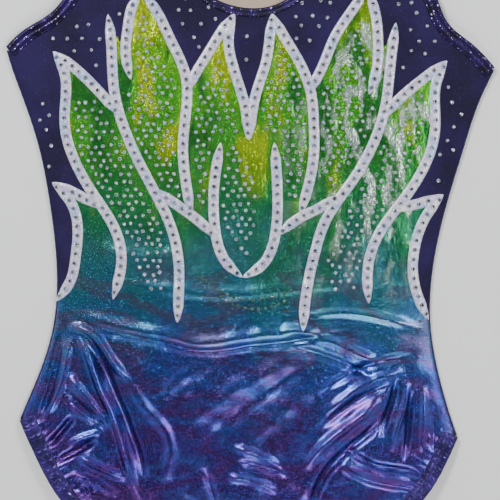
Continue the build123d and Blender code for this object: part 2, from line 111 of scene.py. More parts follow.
# edge between foil and yoke, from the left side seam over the petals to the right one
FOIL_BORDER: list[Points] = [
    [(-126, -43), (-116, -29), (-113, -15), (-111.5, 3), (-116, 21), (-128.5, 34)],
    [(-128.5, 34), (-117.5, 29), (-104.5, 22)],
    [(-104.5, 22), (-114, 49), (-120, 74), (-120.5, 106), (-127.5, 118.5)],
    [(-127.5, 118.5), (-112, 106.5), (-94.5, 89), (-88, 82)],
    [(-88, 82), (-88, 94), (-90, 127), (-92, 142.5)],
    [(-92, 142.5), (-88, 132), (-83.5, 124)],
    [(-83.5, 124), (-79, 134.5), (-75.5, 149), (-70, 156.5)],
    [(-70, 156.5), (-61, 145), (-52.5, 128), (-40, 103)],
    [(-40, 103), (-33, 108), (-26.5, 118.5), (-16.5, 134.5), (-10, 143)],
    [(-10, 143), (-13, 122), (-7, 92), (-1, 61)],
    [(-1, 61), (5, 92), (12, 122), (14, 143)],
    [(14, 143), (19, 133), (31, 112.5), (38.5, 98)],
    [(38.5, 98), (48, 112), (53.5, 125.5), (69, 149.5), (75.5, 159)],
    [(75.5, 159), (79, 149.5), (82, 134), (85.5, 119.5)],
    [(85.5, 119.5), (90, 128), (94, 137)],
    [(94, 137), (92, 123), (90, 105.5), (88.5, 82)],
    [(88.5, 82), (94.5, 86), (114, 102.5), (127, 112.5)],
    [(127, 112.5), (120.5, 99.5), (119.5, 69.5), (110, 39.5), (101, 19)],
    [(101, 19), (113.5, 21.5), (125, 26)],
    [(125, 26), (114.5, 13.5), (106, -10), (105, -23), (107.5, -37), (115.5, -55)],
]


@dataclass(frozen=True)
class Fold:
    """One fold of the slack cloth: a smooth line, its half width and its height (mm)."""

    line: Points
    width: float
    height: float


FOLDS: list[Fold] = [
    # slack fold across the waist, with its crease just below
    Fold([(-118, -50), (-98, -55), (-74, -61), (-53, -65), (-38, -69), (-18, -68), (0, -65), (21, -63),
          (42, -59), (64, -55)], 5.5, 1.0),
    Fold([(-110, -57), (-74, -67), (-50, -72), (-38, -75), (-18, -75), (0, -72), (21, -70), (42, -66),
          (64, -63)], 2.8, -1.4),
    Fold([(20, -60), (45, -66), (68, -76), (90, -87)], 4.5, 1.3),
    Fold([(24, -72), (46, -78), (64, -85), (80, -93)], 3.5, -1.7),
    Fold([(30, -54), (60, -50), (86, -54), (112, -62)], 4.0, 1.2),
    # ridges that run from the left side of the waist to the leg
    Fold([(-118, -60), (-109, -60), (-98, -68), (-88, -83), (-77, -95)], 3.2, 2.6),
    Fold([(-80, -92), (-65, -114), (-54, -127), (-51, -140), (-56, -160)], 5.0, 1.3),
    Fold([(-112, -64), (-105, -76), (-100, -90), (-95, -103), (-90, -113), (-83, -134), (-77, -155),
          (-72, -172)], 3.2, 2.8),
    Fold([(-103, -70), (-95, -84), (-88, -100), (-82, -114), (-74, -136), (-66, -160)], 3.0, -2.0),
    Fold([(-122, -62), (-125, -80), (-131, -104), (-139, -122)], 3.0, -2.2),
    Fold([(-116, -66), (-119, -84), (-124, -102), (-132, -118)], 3.0, 1.6),
    # fan of gathers beside the left leg
    Fold([(-117, -91), (-106, -104), (-90, -124)], 2.2, 1.8),
    Fold([(-121, -97), (-108, -112), (-93, -126)], 2.0, -1.7),
    Fold([(-116, -108), (-106, -117), (-96, -121)], 2.4, 1.6),
    Fold([(-114, -117), (-123, -128), (-131, -137)], 3.0, -2.4),
    Fold([(-126, -146), (-113, -140), (-99, -132)], 3.0, -2.2),
    Fold([(-118, -135), (-106, -130), (-96, -127)], 2.4, 1.4),
    Fold([(-112, -142), (-98, -149), (-80, -157)], 3.0, 2.2),
    Fold([(-116, -155), (-100, -160), (-84, -170)], 3.2, -1.6),
    Fold([(-122, -166), (-106, -172), (-88, -186)], 3.4, 1.4),
    # fan from the right hip
    Fold([(94, -92), (92, -105), (88, -117), (84, -132)], 2.6, -2.2),
    Fold([(101, -95), (100, -108), (95, -124), (92, -140)], 2.4, 1.6),
    Fold([(104, -100), (103, -114), (100, -147)], 2.4, -2.0),
    Fold([(112, -98), (112, -116), (110, -140)], 2.6, 1.5),
    Fold([(116, -108), (119, -122), (118, -140)], 2.2, -1.3),
    Fold([(88, -114), (82, -122), (58, -143), (45, -160), (38, -184)], 4.0, -2.4),
    Fold([(84, -106), (70, -118), (48, -135), (34, -152)], 4.5, 2.2),
    Fold([(60, -137), (66, -141), (80, -149), (96, -152), (112, -157)], 2.8, -2.0),
    Fold([(58, -148), (78, -158), (98, -162), (112, -166)], 3.4, 1.8),
    Fold([(100, -88), (78, -94), (62, -104), (48, -116)], 3.8, 1.4),
    Fold([(92, -96), (72, -105), (56, -116), (42, -126)], 2.6, -1.5),
    Fold([(108, -78), (84, -82), (60, -92), (44, -102)], 3.6, -1.4),
    # long soft diagonals across the middle
    Fold([(30, -76), (12, -88), (-4, -96), (-30, -114), (-48, -126)], 8.2, 0.81),
    Fold([(40, -82), (19, -96), (-2, -112), (-18, -125), (-34, -144)], 6.8, -0.85),
    Fold([(52, -92), (30, -106), (10, -124), (-6, -140)], 7.5, 0.68),
    Fold([(-30, -80), (-44, -92), (-58, -104)], 6.0, -0.54),
    Fold([(-12, -78), (-28, -92), (-50, -104)], 6.0, 0.45),
    # small crumples towards the crotch
    Fold([(-12, -137), (5, -141), (20, -150)], 2.6, 1.5),
    Fold([(-8, -146), (10, -151), (26, -156)], 2.4, -1.5),
    Fold([(-16, -156), (0, -158), (18, -166)], 2.8, 1.4),
    Fold([(-30, -150), (-24, -166), (-20, -186)], 3.2, -1.3),
    Fold([(-44, -168), (-30, -182), (-22, -204)], 3.4, 1.4),
    Fold([(22, -170), (14, -190), (6, -214)], 3.4, 1.3),
    Fold([(-12, -178), (-8, -200), (-6, -226)], 3.0, -1.2),
    Fold([(36, -168), (28, -190), (16, -216)], 3.0, -1.2),
    # faint pulls in the upper part
    Fold([(-148, 104), (-134, 84), (-128, 60)], 4.5, 0.7),
    Fold([(146, 96), (134, 78), (127, 56)], 4.5, 0.7),
    Fold([(-120, 134), (-100, 126), (-84, 128)], 5.0, 0.5),
    Fold([(118, 136), (102, 128), (90, 132)], 5.0, 0.5),
    Fold([(-24, 136), (-6, 128), (18, 134)], 6.0, 0.5),
    Fold([(-90, -30), (-60, -34), (-20, -38), (30, -34), (80, -30)], 6.0, 0.8),
    Fold([(-104, -6), (-70, -14), (-30, -10)], 7.0, 0.5),
    Fold([(92, 0), (62, -10), (26, -12)], 7.0, 0.5),
]

PETAL_STONES: dict[str, list[Points]] = {
    "stones_petal_left": [
        [(-108, 88), (-116, 84), (-116, 66), (-109, 46), (-90, 20), (-78, -6), (-70, -34), (-56, -36),
         (-54, -12), (-60, 10), (-76, 42), (-89, 72), (-92, 84)],
        [(-70, 144), (-76, 112), (-80, 84), (-70, 52), (-54, 26), (-44, 20), (-49, 60), (-48, 98)],
        [(-12, 60), (-19, 40), (-18, 14), (-11, -6), (-3, -14), (3, 2), (5, 26), (0, 46)],
        [(-18, 122), (-34, 100), (-38, 60), (-34, 18), (-28, 14), (-27, 52), (-18, 66), (-8, 66),
         (-16, 100)]],
    "stones_petal_right": [
        [(20, 122), (12, 100), (6, 72), (14, 62), (21, 62), (24, 20), (30, 22), (36, 60), (34, 94)],
        [(74, 146), (58, 118), (44, 90), (46, 46), (54, 30), (76, 66), (82, 90), (76, 116)],
        [(110, 92), (94, 78), (84, 54), (62, 12), (50, -14), (52, -36), (68, -34), (72, -6), (88, 18),
         (104, 42), (114, 72)]],
}
YOKE_STONES: dict[str, list[Points]] = {
    "stones_yoke_left": [
        [(-146, 108), (-138, 122), (-96, 146), (-97, 108), (-112, 114), (-132, 122)],
        [(-62, 168), (-46, 130), (-34, 118), (-14, 148), (-28, 164)],
        [(1, 142), (-8, 118), (0, 84), (0, 84), (0, 142)],
        [(-138, 92), (-130, 100), (-127, 62), (-122, 40), (-130, 42), (-135, 64)],
        [(-88, 150), (-84, 132), (-72, 162), (-84, 172)]],
    "stones_yoke_right": [
        [(4, 142), (1, 84), (1, 84), (9, 118), (9, 140)],
        [(30, 122), (44, 124), (66, 160), (40, 164), (20, 146)],
        [(90, 160), (96, 106), (112, 112), (130, 122), (116, 146), (104, 160)],
        [(138, 92), (128, 98), (127, 62), (112, 34), (122, 34), (136, 64)]],
}
WAIST_ROWS: list[Points] = [
    [(-32, -27), (-18, -37), (4, -42), (26, -36)],
    [(-26, -35), (-12, -44), (6, -48), (22, -43)],
]


# ------------------------------------------------------------------------ plain geometry
def spline(points: Points, step: float) -> np.ndarray:
    """Natural cubic through the points over chord length, resampled evenly.

    Args:
        points: plan points in mm.
        step: distance between samples in mm.

    Returns:
        Samples as an array of rows (x, y).
    """
    pts = np.asarray(points, float)
    t = np.concatenate([[0.0], np.cumsum(np.linalg.norm(np.diff(pts, axis=0), axis=1))])
    n = len(pts)
    h = np.diff(t)
    system = np.eye(n)
    right = np.zeros((n, 2))
    for i in range(1, n - 1):
        system[i, i - 1:i + 2] = h[i - 1], 2 * (h[i - 1] + h[i]), h[i]
        right[i] = 6 * ((pts[i + 1] - pts[i]) / h[i] - (pts[i] - pts[i - 1]) / h[i - 1])
    bend = np.linalg.solve(system, right)
    fine = np.linspace(0, t[-1], max(int(t[-1] / step) * 4, 16))
    k = np.clip(np.searchsorted(t, fine, "right") - 1, 0, n - 2)
    a = ((t[k + 1] - fine) / h[k])[:, None]
    b = 1 - a
    hk = h[k][:, None]
    dense = a * pts[k] + b * pts[k + 1] + ((a**3 - a) * bend[k] + (b**3 - b) * bend[k + 1]) * hk**2 / 6
    s = np.concatenate([[0.0], np.cumsum(np.linalg.norm(np.diff(dense, axis=0), axis=1))])
    even = np.linspace(0, s[-1], max(int(round(s[-1] / step)), 4) + 1)
    return np.stack([np.interp(even, s, dense[:, 0]), np.interp(even, s, dense[:, 1])], axis=1)


def normals_of(path: np.ndarray) -> np.ndarray:
    """Unit vectors to the left of a plan path, one for each sample."""
    tangent = np.gradient(path, axis=0)
    tangent /= np.linalg.norm(tangent, axis=1)[:, None]
    return np.stack([-tangent[:, 1], tangent[:, 0]], axis=1)


def path_distance(x: np.ndarray, y: np.ndarray, path: np.ndarray) -> tuple[np.ndarray, np.ndarray]:
    """Distance from plan points to a polyline, and how far along it the nearest place is.

    Args:
        x: x of the plan points in mm.
        y: y of the plan points in mm.
        path: polyline samples.

    Returns:
        The distances, and the shares from 0 at the start to 1 at the end.
    """
    best = np.full(x.shape, 1e9)
    share = np.zeros(x.shape)
    count = len(path) - 1
    for i in range(count):
        (ax, ay), (bx, by) = path[i], path[i + 1]
        dx, dy = bx - ax, by - ay
        along = np.clip(((x - ax) * dx + (y - ay) * dy) / (dx * dx + dy * dy + 1e-12), 0, 1)
        gap = np.hypot(x - ax - along * dx, y - ay - along * dy)
        nearer = gap < best
        best = np.where(nearer, gap, best)
        share = np.where(nearer, (i + along) / count, share)
    return best, share


def within(x: np.ndarray, y: np.ndarray, polygon: np.ndarray) -> np.ndarray:
    """Even-odd test of plan points against a closed polygon."""
    odd = np.zeros(x.shape, bool)
    following = np.roll(polygon, -1, axis=0)
    for (x0, y0), (x1, y1) in zip(polygon, following):
        if y0 == y1:
            continue
        crossing = ((y0 > y) != (y1 > y)) & (x < x0 + (y - y0) * (x1 - x0) / (y1 - y0))
        odd ^= crossing
    return odd


def wave_noise(x: np.ndarray, y: np.ndarray, size: float, seed: int, waves: int = 7) -> np.ndarray:
    """Sum of plane waves in seeded directions: a soft noise from -1 to 1 over features of size mm."""
    random = np.random.default_rng(seed)
    total = np.zeros(x.shape)
    for _ in range(waves):
        angle = random.uniform(0, math.tau)
        rate = math.tau / (size * random.uniform(0.7, 1.6))
        total += np.sin((x * math.cos(angle) + y * math.sin(angle)) * rate + random.uniform(0, math.tau))
    return total / waves * 1.6


# ------------------------------------------------------------------------ cloth surface
class Lay:
    """How the front lies: one height for each plan point, from the back to its folds."""

    back_top = 1.35
    seam_rise = 0.9
    fold_gain = 1.9
    fold_squeeze = 0.70
    broad_wave = (0.35, 34)  # height and size of the waves over the whole front
    small_wave = (0.45, 16)  # height and size of the waves below the waist
    pucker_height = 0.5
    pucker_pitch = 7.5
    pucker_reach = 9
    least_rise = 0.5

    def __init__(self) -> None:
        """Sample the side seams and folds once."""
        table = np.asarray(SIDES, float)
        self.left = spline([(row[1], row[0]) for row in table], 2.0)[::-1]
        self.right = spline([(row[2], row[0]) for row in table], 2.0)[::-1]
        self.folds = [(spline(fold.line, 4.0), fold) for fold in FOLDS]
        self.legs = [spline(LEG_LEFT, 4.0), spline(LEG_RIGHT, 4.0)]
        rise = [(-263.5, 0.4), (-245, 1.6), (-215, 4.2), (-170, 6.0), (-110, 6.8), (-60, 6.6), (0, 5.8),
                (80, 5.4), (140, 4.2), (200, 3.0), (240, 1.6), (263.5, 0.4)]
        self.rise_y = np.array([row[0] for row in rise])
        self.rise_z = np.array([row[1] for row in rise])

    def side_x(self, y: np.ndarray) -> tuple[np.ndarray, np.ndarray]:
        """x of the left and right side seams at each y."""
        return (np.interp(y, self.left[:, 1], self.left[:, 0]),
                np.interp(y, self.right[:, 1], self.right[:, 0]))

    def height(self, x: np.ndarray, y: np.ndarray) -> np.ndarray:
        """Height of the front cloth: a shallow arch from seam to seam, plus folds and puckers.

        The arch is rise(y) times (1 - s^4)^0.6, where s runs from -1 to 1 between the seams. Each
        fold adds its height times fold_gain times exp(-(d / w)^2), where w is its width times
        fold_squeeze, and fades at its ends. The elastic adds short puckers along the leg bands,
        fading on both sides of pucker_reach mm from the edge.

        Args:
            x: plan x in mm.
            y: plan y in mm.

        Returns:
            Heights in mm above the surface that the garment lies on.
        """
        x = np.asarray(x, float)
        y = np.asarray(y, float)
        left, right = self.side_x(y)
        s = np.clip((2 * x - left - right) / (right - left), -1, 1)
        arch = np.clip(1 - s**4, 0, 1) ** 0.6
        rise = np.interp(y, self.rise_y, self.rise_z)
        total = self.back_top + self.seam_rise + rise * arch
        free = np.clip(arch * 1.6, 0, 1) * np.clip((263 - np.abs(y)) / 40, 0, 1)
        for path, fold in self.folds:
            width = fold.width * self.fold_squeeze
            reach = width * 3
            near = ((x > path[:, 0].min() - reach) & (x < path[:, 0].max() + reach)
                    & (y > path[:, 1].min() - reach) & (y < path[:, 1].max() + reach))
            if not near.any():
                continue
            gap, share = path_distance(x[near], y[near], path)
            ends = np.clip(np.minimum(share, 1 - share) * 4.5, 0, 1) ** 0.8
            shape = np.exp(-((gap / width) ** 2)) * ends * free[near]
            total[near] += fold.height * self.fold_gain * shape
        low = np.clip((-30 - y) / 60, 0, 1)
        broad = self.broad_wave[0] * wave_noise(x, y, self.broad_wave[1], 3)
        small = low * self.small_wave[0] * wave_noise(x, y, self.small_wave[1], 8)
        total += free * (broad + small)
        for path in self.legs:
            near = np.abs(y + 190) < 90
            gap, share = path_distance(x[near], y[near], path)
            pucker = np.sin(share * len(path) * 4.0 / self.pucker_pitch * math.tau + 1.3 * np.sin(share * 31))
            shape = np.exp(-((gap - self.pucker_reach) / self.pucker_reach) ** 2)
            total[near] += self.pucker_height * pucker * shape * free[near]
        return np.maximum(total, self.back_top + self.least_rise)

    def normal(self, x: np.ndarray, y: np.ndarray) -> np.ndarray:
        """Upward unit normals of the cloth at plan points."""
        step = 0.8
        along_x = (self.height(x + step, y) - self.height(x - step, y)) / (2 * step)
        along_y = (self.height(x, y + step) - self.height(x, y - step)) / (2 * step)
        up = np.stack([-along_x, -along_y, np.ones_like(along_x)], axis=-1)
        return up / np.linalg.norm(up, axis=-1)[..., None]


# ------------------------------------------------------------------------ mesh helpers
@dataclass
class Shell:
    """Points and quads of one piece, with a plan or path coordinate for its material."""

    points: np.ndarray
    faces: list | np.ndarray
    flow: np.ndarray | None = None


def make_object(name: str, shell: Shell, material: bpy.types.Material,
                smooth: bool = True) -> bpy.types.Object:
    """Put a shell, given in mm, into an object at the origin.

    Args:
        name: the piece's name.
        shell: points in mm, faces, and optionally a flow coordinate for each point.
        material: the piece's finish.
        smooth: whether its faces are smooth shaded.

    Returns:
        The new object, linked to the scene.
    """
    mesh = bpy.data.meshes.new(name)
    faces = shell.faces.tolist() if isinstance(shell.faces, np.ndarray) else shell.faces
    mesh.from_pydata((shell.points * MM).tolist(), [], faces)
    mesh.polygons.foreach_set("use_smooth", np.full(len(mesh.polygons), smooth))
    if shell.flow is not None:
        layer = mesh.uv_layers.new(name="flow")
        loops = np.empty(len(mesh.loops), np.int32)
        mesh.loops.foreach_get("vertex_index", loops)
        layer.data.foreach_set("uv", shell.flow[loops].astype(np.float32).ravel())
    mesh.materials.append(material)
    mesh.validate()
    mesh.update()
    piece = bpy.data.objects.new(name, mesh)
    bpy.context.scene.collection.objects.link(piece)
    return piece


def compact(points: np.ndarray, faces: np.ndarray) -> Shell:
    """Keep only the points that the faces use."""
    used, places = np.unique(faces, return_inverse=True)
    return Shell(points[used], places.reshape(faces.shape))


def swept(path: np.ndarray, profile: np.ndarray, scale: np.ndarray, height: np.ndarray) -> Shell:
    """Carry a closed profile of (across, up) along a plan path and cap its ends.

    Args:
        path: plan samples in mm.
        profile: closed loop of (across, up) in mm.
        scale: width share of the profile at each sample.
        height: height of each profile point, rows by samples.

    Returns:
        The closed shell, whose flow is (distance along, place around) in mm.
    """
    side = normals_of(path)
    across = scale[:, None] * profile[None, :, 0]
    x = path[:, None, 0] + side[:, None, 0] * across
    y = path[:, None, 1] + side[:, None, 1] * across
    points = np.stack([x, y, height], axis=-1)
    n, m = x.shape
    i, j = np.meshgrid(np.arange(n - 1), np.arange(m), indexing="ij")
    nxt = (j + 1) % m
    quads = np.stack([i * m + j, (i + 1) * m + j, (i + 1) * m + nxt, i * m + nxt], axis=-1).reshape(-1, 4)
    faces = quads.tolist()
    faces.append(list(range(m)))
    faces.append([(n - 1) * m + k for k in range(m)][::-1])
    along = np.concatenate([[0.0], np.cumsum(np.linalg.norm(np.diff(path, axis=0), axis=1))])
    flow = np.stack([np.repeat(along, m), np.tile(profile[:, 0], n)], axis=1)
    return Shell(points.reshape(-1, 3), faces, flow)


def joined(shells: list[Shell]) -> Shell:
    """Several shells as one."""
    points = []
    faces = []
    flow = []
    start = 0
    for shell in shells:
        points.append(shell.points)
        flow.append(shell.flow)
        faces += [[k + start for k in face] for face in shell.faces]
        start += len(shell.points)
    return Shell(np.concatenate(points), faces, np.concatenate(flow) if flow[0] is not None else None)


# --------------------------------------------------------------------- shader expressions
@dataclass
class Value:
    """A socket in a material's tree that takes part in Python expressions."""

    tree: "Recipe"
    socket: bpy.types.NodeSocket

    def _with(self, operation: str, first: object, second: object = None) -> "Value":
        """Math node on two values."""
        values = {0: first} if second is None else {0: first, 1: second}
        return self.tree.node("ShaderNodeMath", {"operation": operation}, values)

    def __add__(self, other: object) -> "Value":
        """Sum."""
        return self._with("ADD", self, other)

    __radd__ = __add__

    def __sub__(self, other: object) -> "Value":
        """Difference."""
        return self._with("SUBTRACT", self, other)

    def __rsub__(self, other: object) -> "Value":
        """Reflected difference."""
        return self._with("SUBTRACT", other, self)

    def __mul__(self, other: object) -> "Value":
        """Product."""
        return self._with("MULTIPLY", self, other)

    __rmul__ = __mul__

    def __truediv__(self, other: object) -> "Value":
        """Quotient."""
        return self._with("DIVIDE", self, other)

    def __pow__(self, other: object) -> "Value":
        """Power."""
        return self._with("POWER", self, other)

    def sine(self) -> "Value":
        """Sine of a value in radians."""
        return self._with("SINE", self)

    def clamp(self) -> "Value":
        """The value held between 0 and 1."""
        return self.tree.node("ShaderNodeClamp", {}, {"Value": self})

    def over(self, low: float, high: float) -> "Value":
        """Smooth step from 0 at low to 1 at high."""
        settings = {"interpolation_type": "SMOOTHSTEP"}
        inputs = {"Value": self, "From Min": low, "From Max": high}
        return self.tree.node("ShaderNodeMapRange", settings, inputs)


class Recipe:
    """One material's node tree, written as expressions."""

    def __init__(self, name: str) -> None:
        """Start an empty material with a Principled shader."""
        self.material = bpy.data.materials.new(name)
        self.material.use_nodes = True
        self.nodes = self.material.node_tree.nodes
        self.links = self.material.node_tree.links
        self.shader = self.nodes["Principled BSDF"]

    def node(self, kind: str, settings: dict, inputs: dict, output: int | str = 0) -> Value:
        """Add one node.

        Args:
            kind: the node's type.
            settings: its properties, or "stops" for a ramp's positions and colours.
            inputs: values or Values for its sockets, by name or number.
            output: which output to return.

        Returns:
            The chosen output.
        """
        made = self.nodes.new(kind)
        for key, value in settings.items():
            if key == "stops":
                ramp = made.color_ramp
                while len(ramp.elements) < len(value):
                    ramp.elements.new(0.5)
                for element, (place, colour) in zip(ramp.elements, value):
                    element.position = place
                    element.color = (*colour, 1.0)
            else:
                setattr(made, key, value)
        for key, value in inputs.items():
            self.set(made.inputs[key], value)
        return Value(self, made.outputs[output])

    def set(self, socket: bpy.types.NodeSocket, value: object) -> None:
        """Link a Value to a socket, or write a number, vector or colour into it."""
        if isinstance(value, Value):
            self.links.new(value.socket, socket)
        elif isinstance(value, tuple) and len(value) == 3 and socket.type == "RGBA":
            socket.default_value = (*value, 1.0)
        else:
            socket.default_value = value

    def place(self) -> Value:
        """Object coordinates, in metres."""
        return self.node("ShaderNodeTexCoord", {}, {}, "Object")

    def split(self, vector: Value) -> tuple[Value, Value, Value]:
        """The three parts of a vector."""
        made = self.nodes.new("ShaderNodeSeparateXYZ")
        self.links.new(vector.socket, made.inputs[0])
        return tuple(Value(self, made.outputs[k]) for k in range(3))

    def flow(self) -> tuple[Value, Value]:
        """Distance along and across a swept piece, in mm."""
        along, across, _ = self.split(self.node("ShaderNodeUVMap", {"uv_map": "flow"}, {}))
        return along, across

    def noise(self, scale: float, detail: float = 2.0, vector: Value | None = None) -> Value:
        """Noise over Object coordinates, scale in features per metre."""
        inputs = {"Vector": vector or self.place(), "Scale": scale, "Detail": detail}
        return self.node("ShaderNodeTexNoise", {}, inputs)

    def cells(self, scale: float, output: str = "Distance") -> Value:
        """Voronoi cells over Object coordinates, scale in cells per metre."""
        return self.node("ShaderNodeTexVoronoi", {}, {"Vector": self.place(), "Scale": scale}, output)

    def ramp(self, factor: Value, stops: list[tuple[float, tuple[float, float, float]]]) -> Value:
        """Colour ramp."""
        return self.node("ShaderNodeValToRGB", {"stops": stops}, {0: factor})

    def blend(self, factor: object, first: object, second: object, how: str = "MIX") -> Value:
        """Mix two colours."""
        settings = {"data_type": "RGBA", "blend_type": how}
        return self.node("ShaderNodeMix", settings, {0: factor, 6: first, 7: second}, 2)

    def bump(self, height: Value, distance: float, strength: float = 1.0,
             under: Value | None = None) -> Value:
        """Normal from a height; distance in metres."""
        inputs = {"Height": height, "Distance": distance, "Strength": strength}
        if under is not None:
            inputs["Normal"] = under
        return self.node("ShaderNodeBump", {}, inputs)

    def finish(self, **sockets: object) -> bpy.types.Material:
        """Write the shader's sockets, with _ for a space, and return the material."""
        for key, value in sockets.items():
            self.set(self.shader.inputs[key.replace("_", " ")], value)
        return self.material


def linear(red: int, green: int, blue: int) -> tuple[float, float, float]:
    """Scene-linear colour from 8-bit display values."""
    channels = (red, green, blue)
    return tuple(((c / 255 + 0.055) / 1.055) ** 2.4 if c > 10 else c / 255 / 12.92 for c in channels)


@dataclass(frozen=True)
class FoilSpandex:
    """Stretch knit under a mirror-like hologram foil, shaded from lime through teal and blue to violet."""

    name: str
    low_y: float = -0.262
    high_y: float = 0.160
    roughness: float = 0.21
    metallic: float = 0.94

    def build(self) -> bpy.types.Material:
        """Make the material: shading by height on the body, streaked hues, a painted glare highlight on the
        right petals, glitter and fine grain.
        """
        r = Recipe(self.name)
        x, y, _ = r.split(r.place())
        stretched = r.node("ShaderNodeMapping", {}, {"Vector": r.place(), "Scale": (1.0, 0.38, 1.0)})
        slanted = r.node("ShaderNodeMapping", {}, {
            "Vector": r.place(), "Rotation": (0.0, 0.0, -0.7), "Scale": (0.45, 1.3, 1.0)})
        broad = r.noise(15.0, 3.0) - 0.5
        streak = r.noise(60.0, 5.0, stretched) - 0.5
        sweep = r.noise(26.0, 4.0, slanted)
        level = (y - self.low_y) / (self.high_y - self.low_y) + broad * 0.16 + streak * 0.20
        body = r.ramp(level, [
            (0.00, linear(84, 50, 122)), (0.16, linear(78, 54, 134)), (0.30, linear(70, 60, 142)),
            (0.42, linear(62, 76, 146)), (0.50, linear(62, 112, 148)), (0.56, linear(60, 128, 138)),
            (0.63, linear(40, 124, 88)), (0.72, linear(50, 142, 48)), (0.84, linear(84, 172, 34)),
            (0.94, linear(140, 186, 20)), (1.00, linear(116, 150, 20)),
        ])
        low = (y * -1.0).over(0.030, 0.080)
        high = y.over(0.0, 0.07)
        bands = (sweep * 34.0).sine()
        violet = r.blend(bands.over(0.25, 1.0) * low * 0.4, body, linear(112, 56, 116))
        azure = r.blend((bands * -1.0).over(0.6, 1.0) * low * 0.3, violet, linear(48, 96, 186))
        waist = (1.0 - ((y + 0.040) * 26.0) ** 2.0).clamp()
        dusky = r.blend(bands.over(0.3, 1.0) * waist * 0.45, azure, linear(96, 84, 108))
        lime = r.blend(streak.over(0.03, 0.13) * high * 0.85, dusky, linear(172, 192, 14))
        emerald = r.blend((streak * -1.0).over(0.01, 0.11) * high * 0.85, lime, linear(18, 104, 34))
        # painted glare highlight: a pale green-white patch painted over the right petals, masked by place and
        # streaky noise
        glare_noise = r.noise(150.0, 4.0, stretched)
        painted_glare_mask = x.over(0.005, 0.075) * y.over(-0.06, 0.03) * glare_noise.over(0.49, 0.62)
        with_painted_glare = r.blend(painted_glare_mask * 0.8, emerald, linear(206, 226, 208))
        spark, tone, _ = r.split(r.cells(1500.0, "Color"))
        hue = r.node("ShaderNodeHueSaturation", {}, {
            "Hue": 0.5 + (tone - 0.5) * 0.07, "Saturation": 1.0, "Value": 0.82 + spark * 0.36, "Color": with_painted_glare})
        fine = r.noise(2600.0, 2.0)
        crease = r.noise(120.0, 5.0, stretched) * (0.05 + y.over(-0.07, 0.02) * 0.95)
        rough = self.roughness + (fine - 0.5) * 0.12 + (spark - 0.5) * 0.10
        under = r.bump(crease, 0.0020, 0.9)
        normal = r.bump(fine + spark * 0.8, 0.00010, 0.9, under)
        metal = self.metallic - y.over(-0.06, 0.03) * 0.14
        return r.finish(Base_Color=hue, Roughness=rough, Metallic=metal, Normal=normal)


@dataclass(frozen=True)
class PlainSpandex:
    """Dull stretch knit: fine loops, a little sheen, faint pilling."""

    name: str
    colour: tuple[int, int, int]
    other: tuple[int, int, int]
    sheen: float = 0.25
    roughness: float = 0.78

    def build(self) -> bpy.types.Material:
        """Make the material: knit rows, a slow change of colour and tiny lint."""
        r = Recipe(self.name)
        x, y, _ = r.split(r.place())
        rows = (y * 9000.0).sine() * (x * 7200.0).sine()
        cloud = r.noise(30.0, 4.0)
        lint = r.noise(900.0, 2.0)
        tone = r.blend(cloud.over(0.35, 0.7), linear(*self.colour), linear(*self.other))
        base = r.blend((lint.over(0.60, 0.74)) * 0.28, tone, linear(*(min(255, c + 60) for c in self.colour)))
        rough = self.roughness + (lint - 0.5) * 0.12
        normal = r.bump(rows * 0.25 + lint * 0.8 + cloud * 0.5, 0.00012, 0.8)
        r.shader.inputs["Sheen Weight"].default_value = self.sheen
        r.shader.inputs["Specular IOR Level"].default_value = 0.22
        r.shader.inputs["Sheen Roughness"].default_value = 0.4
        return r.finish(Base_Color=base, Roughness=rough, Normal=normal)


@dataclass(frozen=True)
class RibbedBinding:
    """Shiny dark violet binding whose stitched rows sparkle."""

    name: str
    dark: tuple[int, int, int]
    bright: tuple[int, int, int]
    spark: tuple[int, int, int]
    row_pitch: float
    rib_pitch: float = 1.5
    glints: float = 0.6

    def build(self) -> bpy.types.Material:
        """Make the material: rows across the flow coordinate, fine ribs along it, and glints."""
        r = Recipe(self.name)
        along, across = r.flow()
        rib = (along * (math.tau / self.rib_pitch) + (across * 1.5).sine() * 1.2).sine()
        rows = (across * (math.tau / self.row_pitch)).sine()
        glint = r.noise(700.0, 2.0).over(self.glints, self.glints + 0.1) * rows.over(-0.2, 0.7)
        ground = r.blend(r.noise(110.0, 2.0).over(0.35, 0.7), linear(*self.dark), linear(*self.bright))
        shaded = r.blend(rib.over(-0.2, 1.0) * 0.35, ground, linear(*self.dark))
        base = r.blend(glint, shaded, linear(*self.spark))
        return r.finish(Base_Color=base, Roughness=0.24 + (1.0 - glint) * 0.16, Metallic=0.6,
                        Normal=r.bump(rib * 0.5 + rows, 0.00016, 0.8))


@dataclass(frozen=True)
class PearlStrip:
    """Pearly white foil strip with a faint blue, pink and yellow play of colour."""

    name: str

    def build(self) -> bpy.types.Material:
        """Make the material: nearly white ground, slow tints and fine grain."""
        r = Recipe(self.name)
        tint = r.ramp(r.noise(70.0, 3.0), [
            (0.30, linear(164, 190, 236)), (0.42, linear(212, 212, 234)), (0.50, linear(232, 226, 224)),
            (0.58, linear(206, 188, 230)), (0.70, linear(178, 216, 232))])
        grain = r.noise(1100.0, 3.0)
        spark, tone, _ = r.split(r.cells(1050.0, "Color"))
        shade = (spark * 0.7 + grain * 0.5).over(0.25, 0.95)
        base = r.blend(shade * 0.6, tint, linear(146, 146, 178))
        glint = r.blend(tone.over(0.80, 0.95) * 0.8, base, linear(252, 252, 255))
        return r.finish(Base_Color=glint, Roughness=0.28 + grain * 0.2, Metallic=0.3,
                        Normal=r.bump(grain + spark, 0.00018, 0.9))


